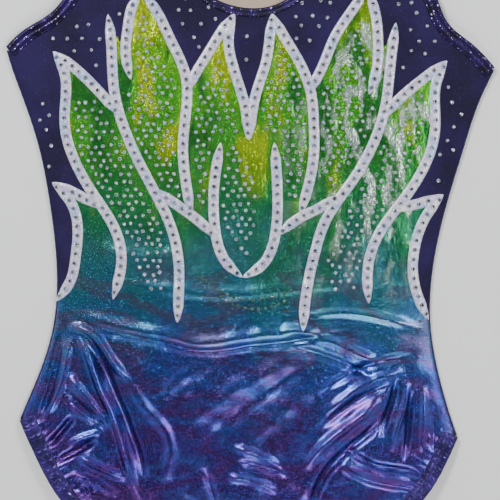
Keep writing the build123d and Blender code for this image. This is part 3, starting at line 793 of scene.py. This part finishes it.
@dataclass(frozen=True)
class CutStone:
    """Foil-backed crystal whose facets carry painted reflections: each is painted light or dark, some faintly
    tinted.
    """

    name: str
    dark: tuple[int, int, int]
    light: tuple[int, int, int]
    tint: tuple[int, int, int]

    def build(self) -> bpy.types.Material:
        """Make the material from the facets' painted reflection brightness and their tint."""
        r = Recipe(self.name)
        made = r.node("ShaderNodeAttribute", {"attribute_name": "facet"}, {}, "Color")
        bright, tinted, _ = r.split(made)
        # painted reflections: each facet blended from dark to light by its painted brightness
        base = r.blend(bright, linear(*self.dark), linear(*self.light))
        base = r.blend(tinted * 0.5, base, linear(*self.tint))
        r.shader.inputs["Coat Weight"].default_value = 0.6
        r.shader.inputs["Coat Roughness"].default_value = 0.03
        return r.finish(Base_Color=base, Roughness=0.12 + bright * 0.08, Metallic=0.55)


@dataclass(frozen=True)
class SoftThread:
    """Matt thread, rubber or satin with a fine twill."""

    name: str
    colour: tuple[int, int, int]
    pitch: float = 1.1
    roughness: float = 0.7

    def build(self) -> bpy.types.Material:
        """Make the material: slanted thread lines over Object coordinates."""
        r = Recipe(self.name)
        x, y, z = r.split(r.place())
        lines = ((x + y + z) * (math.tau / (self.pitch * MM))).sine()
        shade = r.noise(400.0, 2.0)
        low = linear(*(max(0, c - 26) for c in self.colour))
        base = r.blend(lines.over(-0.4, 0.8) * 0.7 + shade * 0.3, low, linear(*self.colour))
        return r.finish(Base_Color=base, Roughness=self.roughness + (shade - 0.5) * 0.1,
                        Normal=r.bump(lines, 0.0001, 0.7))


# ----------------------------------------------------------------------------- finishes
@dataclass
class Finishes:
    """Every finish that the leotard uses, built once."""

    foil: bpy.types.Material = field(default_factory=FoilSpandex("foil_spandex").build)
    yoke: bpy.types.Material = field(
        default_factory=PlainSpandex("yoke_knit", (18, 10, 42), (29, 17, 64), 0.0).build)
    nude: bpy.types.Material = field(
        default_factory=PlainSpandex("nude_tricot", (184, 166, 146), (172, 154, 136), 0.15, 0.82).build)
    binding: bpy.types.Material = field(default_factory=RibbedBinding(
        "ribbed_binding", (12, 5, 34), (38, 15, 82), (190, 164, 240), 3.6, glints=0.60).build)
    band: bpy.types.Material = field(default_factory=RibbedBinding(
        "leg_band_foil", (34, 22, 74), (62, 42, 120), (140, 116, 206), 5.2, 2.6, 0.64).build)
    pearl: bpy.types.Material = field(default_factory=PearlStrip("pearl_foil").build)
    clear: bpy.types.Material = field(
        default_factory=CutStone("clear_crystal", (10, 12, 20), (240, 243, 248), (150, 190, 235)).build)
    green: bpy.types.Material = field(
        default_factory=CutStone("green_crystal", (6, 24, 20), (110, 150, 136), (20, 96, 66)).build)
    thread: bpy.types.Material = field(default_factory=SoftThread("seam_thread", (44, 38, 88)).build)
    rubber: bpy.types.Material = field(default_factory=SoftThread("elastic_band", (214, 212, 206), 0.8).build)
    satin: bpy.types.Material = field(
        default_factory=SoftThread("label_satin", (232, 230, 224), 0.6, 0.45).build)


def place_piece(piece: bpy.types.Object, slot: str, *nodes: str) -> bpy.types.Object:
    """Let a piece ride on the body and stand for its CAD nodes."""
    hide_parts(*nodes)
    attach(piece, BODY)
    LOG.info("%s: %d faces, for %s", piece.name, len(piece.data.polygons), ", ".join(nodes))
    return piece


def thicken(piece: bpy.types.Object, thickness: float) -> None:
    """Give a cloth sheet its thickness in mm, inwards from its face."""
    wall = piece.modifiers.new("cloth", "SOLIDIFY")
    wall.thickness = thickness * MM
    wall.offset = -1.0
    wall.use_even_offset = False


def cut_size(nodes: tuple[str, ...]) -> tuple[float, float, float]:
    """Width, length and one-sided cloth area of a panel, measured on its CAD nodes.

    Args:
        nodes: the CAD nodes of one panel.

    Returns:
        Plan width and length in metres, and the area of the upward faces in square metres.
    """
    corners, area = [], 0.0
    for name in nodes:
        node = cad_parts[name]
        turn = node.matrix_world
        corners += [turn @ vertex.co for vertex in node.data.vertices]
        upward = turn.to_3x3()
        area += sum(face.area for face in node.data.polygons if (upward @ face.normal).z > 0.05)
    across = np.array(corners)
    width, length, _ = across.max(0) - across.min(0)
    return float(width), float(length), area


# --------------------------------------------------------------------------- assemblies
@dataclass
class Panels:
    """Front and back panels and linings: sheets over one grid from side seam to side seam."""

    lay: Lay
    finishes: Finishes
    pitch: float = 1.45
    lining_pitch: float = 1.8
    arm_inset: float = 3.0
    neck_inset: float = 2.5
    leg_inset: float = 3.0
    gusset_top: float = -205.0
    least_share: float = 0.3
    cloth_wall: float = 0.45
    lining_wall: float = 0.2
    lining_drop: float = 1.5
    lining_least: float = 0.1
    back_lining_level: float = 1.12
    back_cloth_level: float = 0.62

    def grid(self, pitch: float) -> tuple[np.ndarray, np.ndarray, np.ndarray]:
        """Plan grid: rows of y, and x from the left seam to the right one in even shares.

        Args:
            pitch: grid step in mm.

        Returns:
            x and y of the points, and the quads.
        """
        rows = np.linspace(-263, 263, int(526 / pitch) + 1)
        shares = np.linspace(0, 1, int(312 / pitch) + 1)
        left, right = self.lay.side_x(rows)
        x = left[:, None] + shares[None, :] * (right - left)[:, None]
        y = np.repeat(rows[:, None], len(shares), axis=1)
        index = np.arange(x.size).reshape(x.shape)
        quads = np.stack([index[:-1, :-1], index[:-1, 1:], index[1:, 1:], index[1:, :-1]], axis=-1)
        return x, y, quads.reshape(-1, 4)

    def cloth_mask(self, x: np.ndarray, y: np.ndarray, neck: Points) -> np.ndarray:
        """Which plan points are cloth: inside the free edges by each opening's inset."""
        arm_left, arm_right = spline(ARM_LEFT, 3.0), spline(ARM_RIGHT, 3.0)
        leg_left, leg_right = spline(LEG_LEFT, 3.0), spline(LEG_RIGHT, 3.0)
        collar = spline(neck, 3.0)
        wide = 220.0
        ring = np.concatenate([
            arm_left, [(-wide, arm_left[-1][1]), (-wide, leg_left[0][1])], leg_left, leg_right[::-1],
            [(wide, leg_right[0][1]), (wide, arm_right[-1][1])], arm_right[::-1], collar[::-1]])
        mask = within(x, y, ring)
        edges = ((arm_left, self.arm_inset), (arm_right, self.arm_inset), (collar, self.neck_inset),
                 (leg_left, self.leg_inset), (leg_right, self.leg_inset))
        for path, inset in edges:
            gap, _ = path_distance(x, y, path)
            mask &= gap > inset
        return mask

    def sheet(self, name: str, points: np.ndarray, faces: np.ndarray, material: bpy.types.Material,
              thickness: float, slot: str, nodes: tuple[str, ...]) -> bpy.types.Object:
        """Make one cloth sheet, thicken it and measure its cut size, which is that of its CAD nodes."""
        width, length, area = cut_size(nodes)
        piece = make_object(name, compact(points, faces), material)
        thicken(piece, thickness)
        place_piece(piece, slot, *nodes)
        return piece

    def build(self) -> None:
        """Build the front yoke and foil, both linings, the gusset and the back panels."""
        x, y, quads = self.grid(self.pitch)
        height = self.lay.height(x, y)
        points = np.stack([x, y, height], axis=-1).reshape(-1, 3)
        centre = points[quads].mean(axis=1)
        cloth = self.cloth_mask(centre[:, 0], centre[:, 1], NECK_FRONT)
        border = np.concatenate([spline(curve, 2.0) for curve in FOIL_BORDER])
        wide = 260.0
        ring = np.concatenate([border, [(wide, border[-1][1]), (wide, -wide - 20), (-wide, -wide - 20),
                                        (-wide, border[0][1])]])
        foil = within(centre[:, 0], centre[:, 1], ring)
        wall, foil_cloth, yoke_cloth = self.cloth_wall, self.finishes.foil, self.finishes.yoke
        self.sheet("front_foil", points, quads[cloth & foil], foil_cloth, wall, "foil_spandex",
                   ("front_foil_panel",))
        self.sheet("front_yoke_cloth", points, quads[cloth & ~foil], yoke_cloth, wall, "yoke_spandex",
                   ("front_yoke",))
        x, y, quads = self.grid(self.lining_pitch)
        least = self.lay.back_top + self.lining_least
        under = np.maximum(self.lay.height(x, y) - self.lining_drop, least)
        points = np.stack([x, y, under], axis=-1).reshape(-1, 3)
        centre = points[quads].mean(axis=1)
        cloth = self.cloth_mask(centre[:, 0], centre[:, 1], NECK_FRONT)
        low = centre[:, 1] < self.gusset_top
        nude = self.finishes.nude
        self.sheet("front_lining_cloth", points, quads[cloth & ~low], nude, self.lining_wall, "lining",
                   ("front_lining",))
        self.sheet("gusset_lining_cloth", points, quads[cloth & low], nude, self.lining_wall, "lining",
                   ("gusset_lining",))
        cloth = self.cloth_mask(centre[:, 0], centre[:, 1], NECK_BACK)
        seam = spline(YOKE_BACK_EDGE, 4.0)
        upper = centre[:, 1] > np.interp(centre[:, 0], seam[:, 0], seam[:, 1])
        ripple = 0.1 * wave_noise(x, y, 30, 21) + 0.06 * wave_noise(x, y, 11, 22)
        lining = np.stack([x, y, self.back_lining_level + ripple], axis=-1).reshape(-1, 3)
        self.sheet("back_lining_cloth", lining, quads[cloth], nude, self.lining_wall, "lining",
                   ("back_lining",))
        outer = np.stack([x, y, self.back_cloth_level + 0.4 * ripple], axis=-1).reshape(-1, 3)
        self.sheet("back_yoke_cloth", outer, quads[cloth & upper], yoke_cloth, wall, "yoke_spandex",
                   ("back_yoke",))
        self.sheet("back_foil", outer, quads[cloth & ~upper], foil_cloth, wall, "foil_spandex",
                   ("back_foil_panel",))


@dataclass
class Applique:
    """Pearl strips along the petals: a shallow crowned band, pointed at both ends."""

    lay: Lay
    finishes: Finishes
    width: float = 6.8
    point: float = 11.0
    crown: float = 0.62

    def profile(self) -> np.ndarray:
        """Closed section: a low crown from edge to edge, and a flat underside."""
        across = np.linspace(-0.5, 0.5, 9)
        top = np.stack([across * self.width, 0.12 + self.crown * (1 - (2 * np.abs(across)) ** 5)], axis=1)
        low = np.array([(0.5, -0.2), (0.0, -0.2), (-0.5, -0.2)]) * (self.width, 1.0)
        return np.concatenate([top, low])

    def strip(self, line: Points, lift: float) -> Shell:
        """One strip along a centre line, raised by lift over any strip below it."""
        path = spline(line, 1.5)
        along = np.linspace(0, 1, len(path))
        length = np.linalg.norm(np.diff(path, axis=0), axis=1).sum()
        room = np.minimum(along, 1 - along) * length
        scale = np.clip(room / self.point, 0.0025, 1) ** 0.6
        profile = self.profile()
        side = normals_of(path)
        spread = scale[:, None] * profile[None, :, 0]
        x = path[:, None, 0] + side[:, None, 0] * spread
        y = path[:, None, 1] + side[:, None, 1] * spread
        return swept(path, profile, scale, self.lay.height(x, y) + profile[None, :, 1] + lift)

    def build(self) -> None:
        """Build every strip; the strips of one petal are one piece."""
        for order, (node, lines) in enumerate(STRIPS.items()):
            shells = [self.strip(line, 0.05 * k + 0.03 * (order % 2)) for k, line in enumerate(lines)]
            piece = make_object(node.replace("trim", "strip"), joined(shells), self.finishes.pearl)
            place_piece(piece, "pearl_strip", node)


@dataclass
class Edging:
    """Bindings, leg bands and their elastics along the free edges of the openings."""

    lay: Lay
    finishes: Finishes
    arm_width: float = 8.0
    neck_width: float = 5.0
    leg_width: float = 10.0

    def section(self, width: float, flatness: float) -> np.ndarray:
        """Closed section folded over an edge: two rounded rows above, one flat layer below."""
        half = width / 2
        rows = [(-0.7, 0.0), (-0.55, 0.5), (0.1, 0.95), (half * 0.5, 1.1), (half - 0.35, 0.95), (half, 0.72),
                (half + 0.35, 0.95), (width - half * 0.5, 1.1), (width - 0.5, 0.85), (width, 0.25)]
        under = [(width, -0.25), (half, -0.5), (0.2, -0.5), (-0.45, -0.35)]
        section = np.array(rows + under)
        section[:, 1] *= flatness
        return section

    def band(self, edge: Points, flip: bool, section: np.ndarray, level: float | None,
             ripple: float) -> Shell:
        """One half of an edging.

        Args:
            edge: free edge in plan.
            flip: whether the cloth lies on its right.
            section: closed section, across from the free edge towards the cloth.
            level: constant height of a back half, or None to follow the front.
            ripple: gathering by the elastic, mm.

        Returns:
            The closed shell.
        """
        path = spline(edge[::-1] if flip else edge, 1.4)
        side = normals_of(path)
        x = path[:, None, 0] + side[:, None, 0] * section[None, :, 0]
        y = path[:, None, 1] + side[:, None, 1] * section[None, :, 0]
        base = self.lay.height(x, y) if level is None else np.full(x.shape, level)
        along = np.arange(len(path))[:, None] * 1.4
        wave = np.sin(along * math.tau / 4.3 + 1.7 * np.sin(along / 17.0))
        inner = np.sin(np.clip(section[None, :, 0] / section[:, 0].max(), 0, 1) * math.pi)
        return swept(path, section, np.ones(len(path)), base + section[None, :, 1] + ripple * wave * inner)

    def build(self) -> None:
        """Build the three bindings and two leg bands with their elastics."""
        back_level = 0.72
        rows = (
            ("neck_binding", "neck_elastic", NECK_FRONT, NECK_BACK, True, self.neck_width, True),
            ("armhole_binding_left", "armhole_elastic_left", ARM_LEFT, ARM_LEFT, False, self.arm_width, True),
            ("armhole_binding_right", "armhole_elastic_right", ARM_RIGHT, ARM_RIGHT, True, self.arm_width,
             True),
            ("leg_band_left", "leg_elastic_left", LEG_LEFT, LEG_LEFT, False, self.leg_width, False),
            ("leg_band_right", "leg_elastic_right", LEG_RIGHT, LEG_RIGHT, True, self.leg_width, False),
        )
        for node, elastic_node, front, back, flip, width, bound in rows:
            ripple = 0.0 if bound else 0.22
            front_half = self.band(front, flip, self.section(width, 1.0 if bound else 0.75), None, ripple)
            back_half = self.band(back, flip, self.section(width, 0.5), back_level, 0.0)
            material = self.finishes.binding if bound else self.finishes.band
            piece = make_object(f"{node}_cloth", joined([front_half, back_half]), material)
            place_piece(piece, "binding" if bound else "foil_spandex", node)
            across = np.linspace(0.9, width - 0.9, 9)
            strap = np.concatenate([np.stack([across, np.full(9, 0.1)], axis=1),
                                    np.stack([across[::-1], np.full(9, -0.25)], axis=1)])
            flat = strap * (1.0, 0.6)
            shells = [self.band(front, flip, strap, None, 0.0), self.band(back, flip, flat, back_level, 0.0)]
            place_piece(make_object(f"{elastic_node}_band", joined(shells), self.finishes.rubber), "elastic",
                        elastic_node)


@dataclass
class Seams:
    """Overlocked seams: a slim rounded cord of thread along each joined edge."""

    lay: Lay
    finishes: Finishes
    radius: tuple[float, float] = (0.62, 1.05)

    def cord(self, path: np.ndarray, level: float) -> Shell:
        """Round thread edge with small loops along it."""
        turn = np.linspace(math.pi, -math.pi, 10, endpoint=False)
        ring = np.stack([np.cos(turn) * -self.radius[0], np.sin(turn) * self.radius[1]], axis=1)
        along = np.arange(len(path))[:, None]
        loops = 1 + 0.12 * np.sin(along * math.pi / 1.5)
        return swept(path, ring, loops[:, 0], level + ring[None, :, 1] * loops)

    def build(self) -> None:
        """Build the side, shoulder and crotch seams."""
        level = 1.35
        for node, side, top, low in (
            ("side_seam_left", self.lay.left, 121.5, -120.0),
            ("side_seam_right", self.lay.right, 108.0, -131.0),
        ):
            path = side[(side[:, 1] <= top) & (side[:, 1] >= low)]
            piece = make_object(f"{node}_thread", self.cord(path, level), self.finishes.thread)
            place_piece(piece, "seam_thread", node)
        for node, x_start, x_end, y in (
            ("shoulder_seam_left", -103.0, -62.0, 263.2),
            ("shoulder_seam_right", 65.0, 104.0, 263.2),
            ("crotch_seam", -36.0, 26.0, -263.2),
        ):
            across = np.arange(x_start, x_end + 0.1, 1.0)
            path = np.stack([across, np.full(len(across), y)], axis=1)
            piece = make_object(f"{node}_thread", self.cord(path, level), self.finishes.thread)
            place_piece(piece, "seam_thread", node)


@dataclass
class Rhinestones:
    """Flat-back crystals glued on strips, petals, yoke and waist."""

    lay: Lay
    finishes: Finishes
    sides: int = 8
    strip_size: float = 3.1
    petal_size: float = 2.7
    yoke_size: float = 2.7
    strip_pitch: float = 5.9
    petal_pitch: float = 5.3
    yoke_pitch: float = 9.6
    waist_pitch: float = 4.3
    strip_top: float = 0.72
    seat: float = 0.05

    def centre_lines(self) -> np.ndarray:
        """Samples of all strip centre lines, to keep scattered stones off them."""
        return np.concatenate([spline(line, 2.0) for lines in STRIPS.values() for line in lines])

    def along(self, line: Points, pitch: float, start: float) -> np.ndarray:
        """Even places along a line, start mm from both ends."""
        path = spline(line, 0.5)
        s = np.concatenate([[0.0], np.cumsum(np.linalg.norm(np.diff(path, axis=0), axis=1))])
        count = max(1, int(round((s[-1] - 2 * start) / pitch)))
        want = np.linspace(start, s[-1] - start, count + 1)
        return np.stack([np.interp(want, s, path[:, 0]), np.interp(want, s, path[:, 1])], axis=1)

    def thinned(self, centres: np.ndarray, apart: float, others: np.ndarray) -> np.ndarray:
        """Centres at least apart from one another and from the others."""
        kept: list[np.ndarray] = []
        for centre in centres:
            near = np.concatenate([others, np.array(kept)]) if kept else others
            if len(near) == 0 or np.hypot(*(near - centre).T).min() >= apart:
                kept.append(centre)
        return np.array(kept).reshape(-1, 2)

    def scattered(self, polygon: Points, pitch: float, seed: int, lines: np.ndarray,
                  off: float) -> np.ndarray:
        """Staggered, slightly uneven places inside an outline, off the strips."""
        random = np.random.default_rng(seed)
        ring = np.asarray(polygon, float)
        low, high = ring.min(0), ring.max(0)
        rows = np.arange(low[1] + pitch * 0.3, high[1], pitch * 0.866)
        columns = np.arange(low[0], high[0] + pitch, pitch)
        x, y = np.meshgrid(columns, rows)
        x = x + (np.arange(len(rows)) % 2)[:, None] * pitch / 2
        spots = np.stack([x.ravel(), y.ravel()], axis=1) + random.uniform(-0.2, 0.2, (x.size, 2)) * pitch
        spots = spots[within(spots[:, 0], spots[:, 1], ring)]
        if len(spots) == 0:
            return spots
        gap = np.sqrt(((spots[:, None] - lines[None]) ** 2).sum(-1)).min(1)
        return spots[gap > off]

    def stones(self, name: str, centres: np.ndarray, size: float, lift: float, seed: int,
               material: bpy.types.Material, node: str, tables: tuple[float, float] = (0.5, 1.0)) -> None:
        """Build a group of stones.

        Each is four rings of points about the cloth's normal: back, girdle, crown and table. The crown
        is turned by half a side, so that its facets are triangles. Every facet gets its own painted
        reflection, a brightness from dark to light.

        Args:
            name: the piece's name.
            centres: plan places in mm.
            size: girdle diameter in mm.
            lift: height of the stone's back above the cloth in mm.
            seed: seed of the facets' brightness.
            material: the stones' finish.
            node: the CAD node that the group stands for.
            tables: lowest and highest painted reflection brightness of the stones' tables.
        """
        random = np.random.default_rng(seed)
        n, k = len(centres), self.sides
        x, y = centres[:, 0], centres[:, 1]
        up = self.lay.normal(x, y)
        seat = np.stack([x, y, self.lay.height(x, y)], axis=-1) + up * lift
        first = np.cross(up, np.array([0.31, 0.95, 0.0]))
        first /= np.linalg.norm(first, axis=1)[:, None]
        second = np.cross(up, first)
        sizes = size * random.uniform(0.93, 1.05, n)
        spin = random.uniform(0, math.tau, n)
        rings = ((0.5, 0.0, 0.0), (0.5, 0.09, 0.0), (0.38, 0.27, 0.5), (0.25, 0.35, 0.0))
        points = []
        for radius, rise, turn in rings:
            angle = spin[:, None] + (np.arange(k)[None] + turn) * math.tau / k
            ring = (np.cos(angle)[..., None] * first[:, None] + np.sin(angle)[..., None] * second[:, None])
            points.append(seat[:, None] + ring * (sizes * radius)[:, None, None]
                          + up[:, None] * (sizes * rise)[:, None, None])
        block = np.concatenate(points, axis=1)
        j = np.arange(k)
        nxt = (j + 1) % k
        low, girdle, crown, table = (ring * k for ring in range(4))
        quads = np.stack([low + j, low + nxt, girdle + nxt, girdle + j], axis=1).tolist()
        triangles = np.concatenate([
            np.stack([girdle + j, girdle + nxt, crown + j], axis=1),
            np.stack([girdle + nxt, crown + nxt, crown + j], axis=1),
            np.stack([crown + j, crown + nxt, table + nxt], axis=1),
            np.stack([crown + j, table + nxt, table + j], axis=1)]).tolist()
        template = quads + triangles + [(table + j).tolist(), (low + j)[::-1].tolist()]
        faces = [[index + stone * 4 * k for index in face] for stone in range(n) for face in template]
        piece = make_object(name, Shell(block.reshape(-1, 3), faces), material, smooth=False)
        per_face = len(template)
        # painted reflections: every facet painted light or dark at random, the table (second last face)
        # within the tables range
        bright = random.beta(0.55, 0.75, (n, per_face)) * random.uniform(0.7, 1.0, (n, 1))
        bright[:, -2] = random.uniform(*tables, n)
        tint = np.where(random.random((n, per_face)) < 0.35, random.uniform(0.3, 1.0, (n, per_face)), 0.0)
        corners = np.array([len(face) for face in faces])
        blank = np.zeros(n * per_face)
        colour = np.stack([bright.ravel(), tint.ravel(), blank, blank + 1.0], axis=1)
        layer = piece.data.color_attributes.new(name="facet", type="FLOAT_COLOR", domain="CORNER")
        layer.data.foreach_set("color", np.repeat(colour, corners, axis=0).astype(np.float32).ravel())
        place_piece(piece, "rhinestone", node)

    def build(self) -> None:
        """Build the strip rows, the petal and yoke scatter and the rows at the waist."""
        lines = self.centre_lines()
        clear = self.finishes.clear
        taken = np.zeros((0, 2))
        for seed, side in enumerate(("left", "right")):
            chosen = [self.along(line, self.strip_pitch, 4.5) for name, group in STRIPS.items()
                      if name.endswith(side) for line in group]
            centres = self.thinned(np.concatenate(chosen), self.strip_size + 0.7, taken)
            taken = np.concatenate([taken, centres])
            self.stones(f"strip_stones_{side}", centres, self.strip_size, self.strip_top, seed, clear,
                        f"stones_trim_{side}", (0.0, 0.12))
        for groups, pitch, size, off in ((PETAL_STONES, self.petal_pitch, self.petal_size, 5.6),
                                         (YOKE_STONES, self.yoke_pitch, self.yoke_size, 6.0)):
            for seed, (node, outlines) in enumerate(groups.items()):
                chosen = [self.scattered(outline, pitch, 40 + seed * 9 + number, lines, off)
                          for number, outline in enumerate(outlines)]
                centres = self.thinned(np.concatenate(chosen), size + 0.8, taken)
                taken = np.concatenate([taken, centres])
                self.stones(f"{node}_cut", centres, size, self.seat, 60 + seed, clear, node, (0.1, 1.0))
        chosen = [self.along(line, self.waist_pitch, 0.0) for line in WAIST_ROWS]
        centres = self.thinned(np.concatenate(chosen), self.yoke_size + 0.5, taken)
        self.stones("stones_waist_cut", centres, self.yoke_size, self.seat, 80, self.finishes.green,
                    "stones_waist", (0.0, 0.5))


@dataclass
class Stage:
    """Pale floor, soft studio light and a camera straight above."""

    view_width: float = 0.325
    view_centre: tuple[float, float] = (-0.0002, -0.0098)
    camera_height: float = 0.95
    sensor: float = 36.0
    sky_strength: float = 1.0
    lamps: tuple = (("key", (-0.62, 0.78, 0.95), 0.26, 17.0), ("fill", (0.85, 0.25, 0.9), 0.3, 7.5),
                    ("low", (0.10, -0.95, 0.8), 0.35, 5.0))
    sky_stops: tuple = ((0.02, (0.62, 0.64, 0.70)), (0.45, (1.0, 1.0, 1.05)), (0.60, (0.90, 0.92, 1.0)),
                        (0.74, (0.20, 0.21, 0.26)), (0.98, (0.15, 0.16, 0.20)))

    def light(self, name: str, place: tuple[float, float, float], size: float, power: float) -> None:
        """Square soft light at a place, turned towards the garment."""
        data = bpy.data.lights.new(name, "AREA")
        data.size = size
        data.energy = power
        lamp = bpy.data.objects.new(name, data)
        lamp.location = place
        lamp.rotation_euler = (-Vector(place)).to_track_quat("-Z", "Y").to_euler()
        bpy.context.scene.collection.objects.link(lamp)

    def sky(self) -> None:
        """World that is dim overhead and bright around, so that flat foil stays deep and folds shine."""
        world = bpy.data.worlds.new("studio")
        world.use_nodes = True
        nodes, links = world.node_tree.nodes, world.node_tree.links
        split = nodes.new("ShaderNodeSeparateXYZ")
        rise = nodes.new("ShaderNodeMath")
        rise.operation = "ABSOLUTE"
        ramp = nodes.new("ShaderNodeValToRGB")
        for place, colour in self.sky_stops:
            element = ramp.color_ramp.elements.new(place)
            element.color = (*colour, 1.0)
        ramp.color_ramp.elements.remove(ramp.color_ramp.elements[0])
        ramp.color_ramp.elements.remove(ramp.color_ramp.elements[-1])
        links.new(nodes.new("ShaderNodeNewGeometry").outputs["Incoming"], split.inputs[0])
        links.new(split.outputs["Z"], rise.inputs[0])
        links.new(rise.outputs[0], ramp.inputs[0])
        links.new(ramp.outputs[0], nodes["Background"].inputs["Color"])
        nodes["Background"].inputs["Strength"].default_value = self.sky_strength
        bpy.context.scene.world = world

    def build(self) -> None:
        """Make the floor, the world, the lights and the camera."""
        r = Recipe("pale_floor")
        shade = r.noise(3.0, 2.0)
        material = r.finish(Base_Color=r.blend(shade * 0.5, linear(224, 224, 222), linear(216, 217, 213)),
                            Roughness=0.9)
        half = 3000.0
        corners = np.array([(-half, -half, 0), (half, -half, 0), (half, half, 0), (-half, half, 0)])
        floor = make_object("floor", Shell(corners, [[0, 1, 2, 3]]), material)
        self.sky()
        for lamp in self.lamps:
            self.light(*lamp)
        data = bpy.data.cameras.new("camera")
        data.sensor_width = self.sensor
        data.lens = self.sensor * self.camera_height / self.view_width
        camera = bpy.data.objects.new("camera", data)
        camera.location = (*self.view_centre, self.camera_height)
        bpy.context.scene.collection.objects.link(camera)
        bpy.context.scene.camera = camera


def dress_label(finishes: Finishes) -> None:
    """Give the blank size label its satin."""
    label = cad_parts["size_label"]
    label.data.materials.clear()
    label.data.materials.append(finishes.satin)


def main() -> None:
    """Build the leotard and its stage."""
    logging.basicConfig(level=logging.INFO, format="%(name)s: %(message)s")
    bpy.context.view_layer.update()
    lay = Lay()
    finishes = Finishes()
    Stage().build()
    Panels(lay, finishes).build()
    Applique(lay, finishes).build()
    Edging(lay, finishes).build()
    Seams(lay, finishes).build()
    Rhinestones(lay, finishes).build()
    dress_label(finishes)


if __name__ == "__main__":
    main()
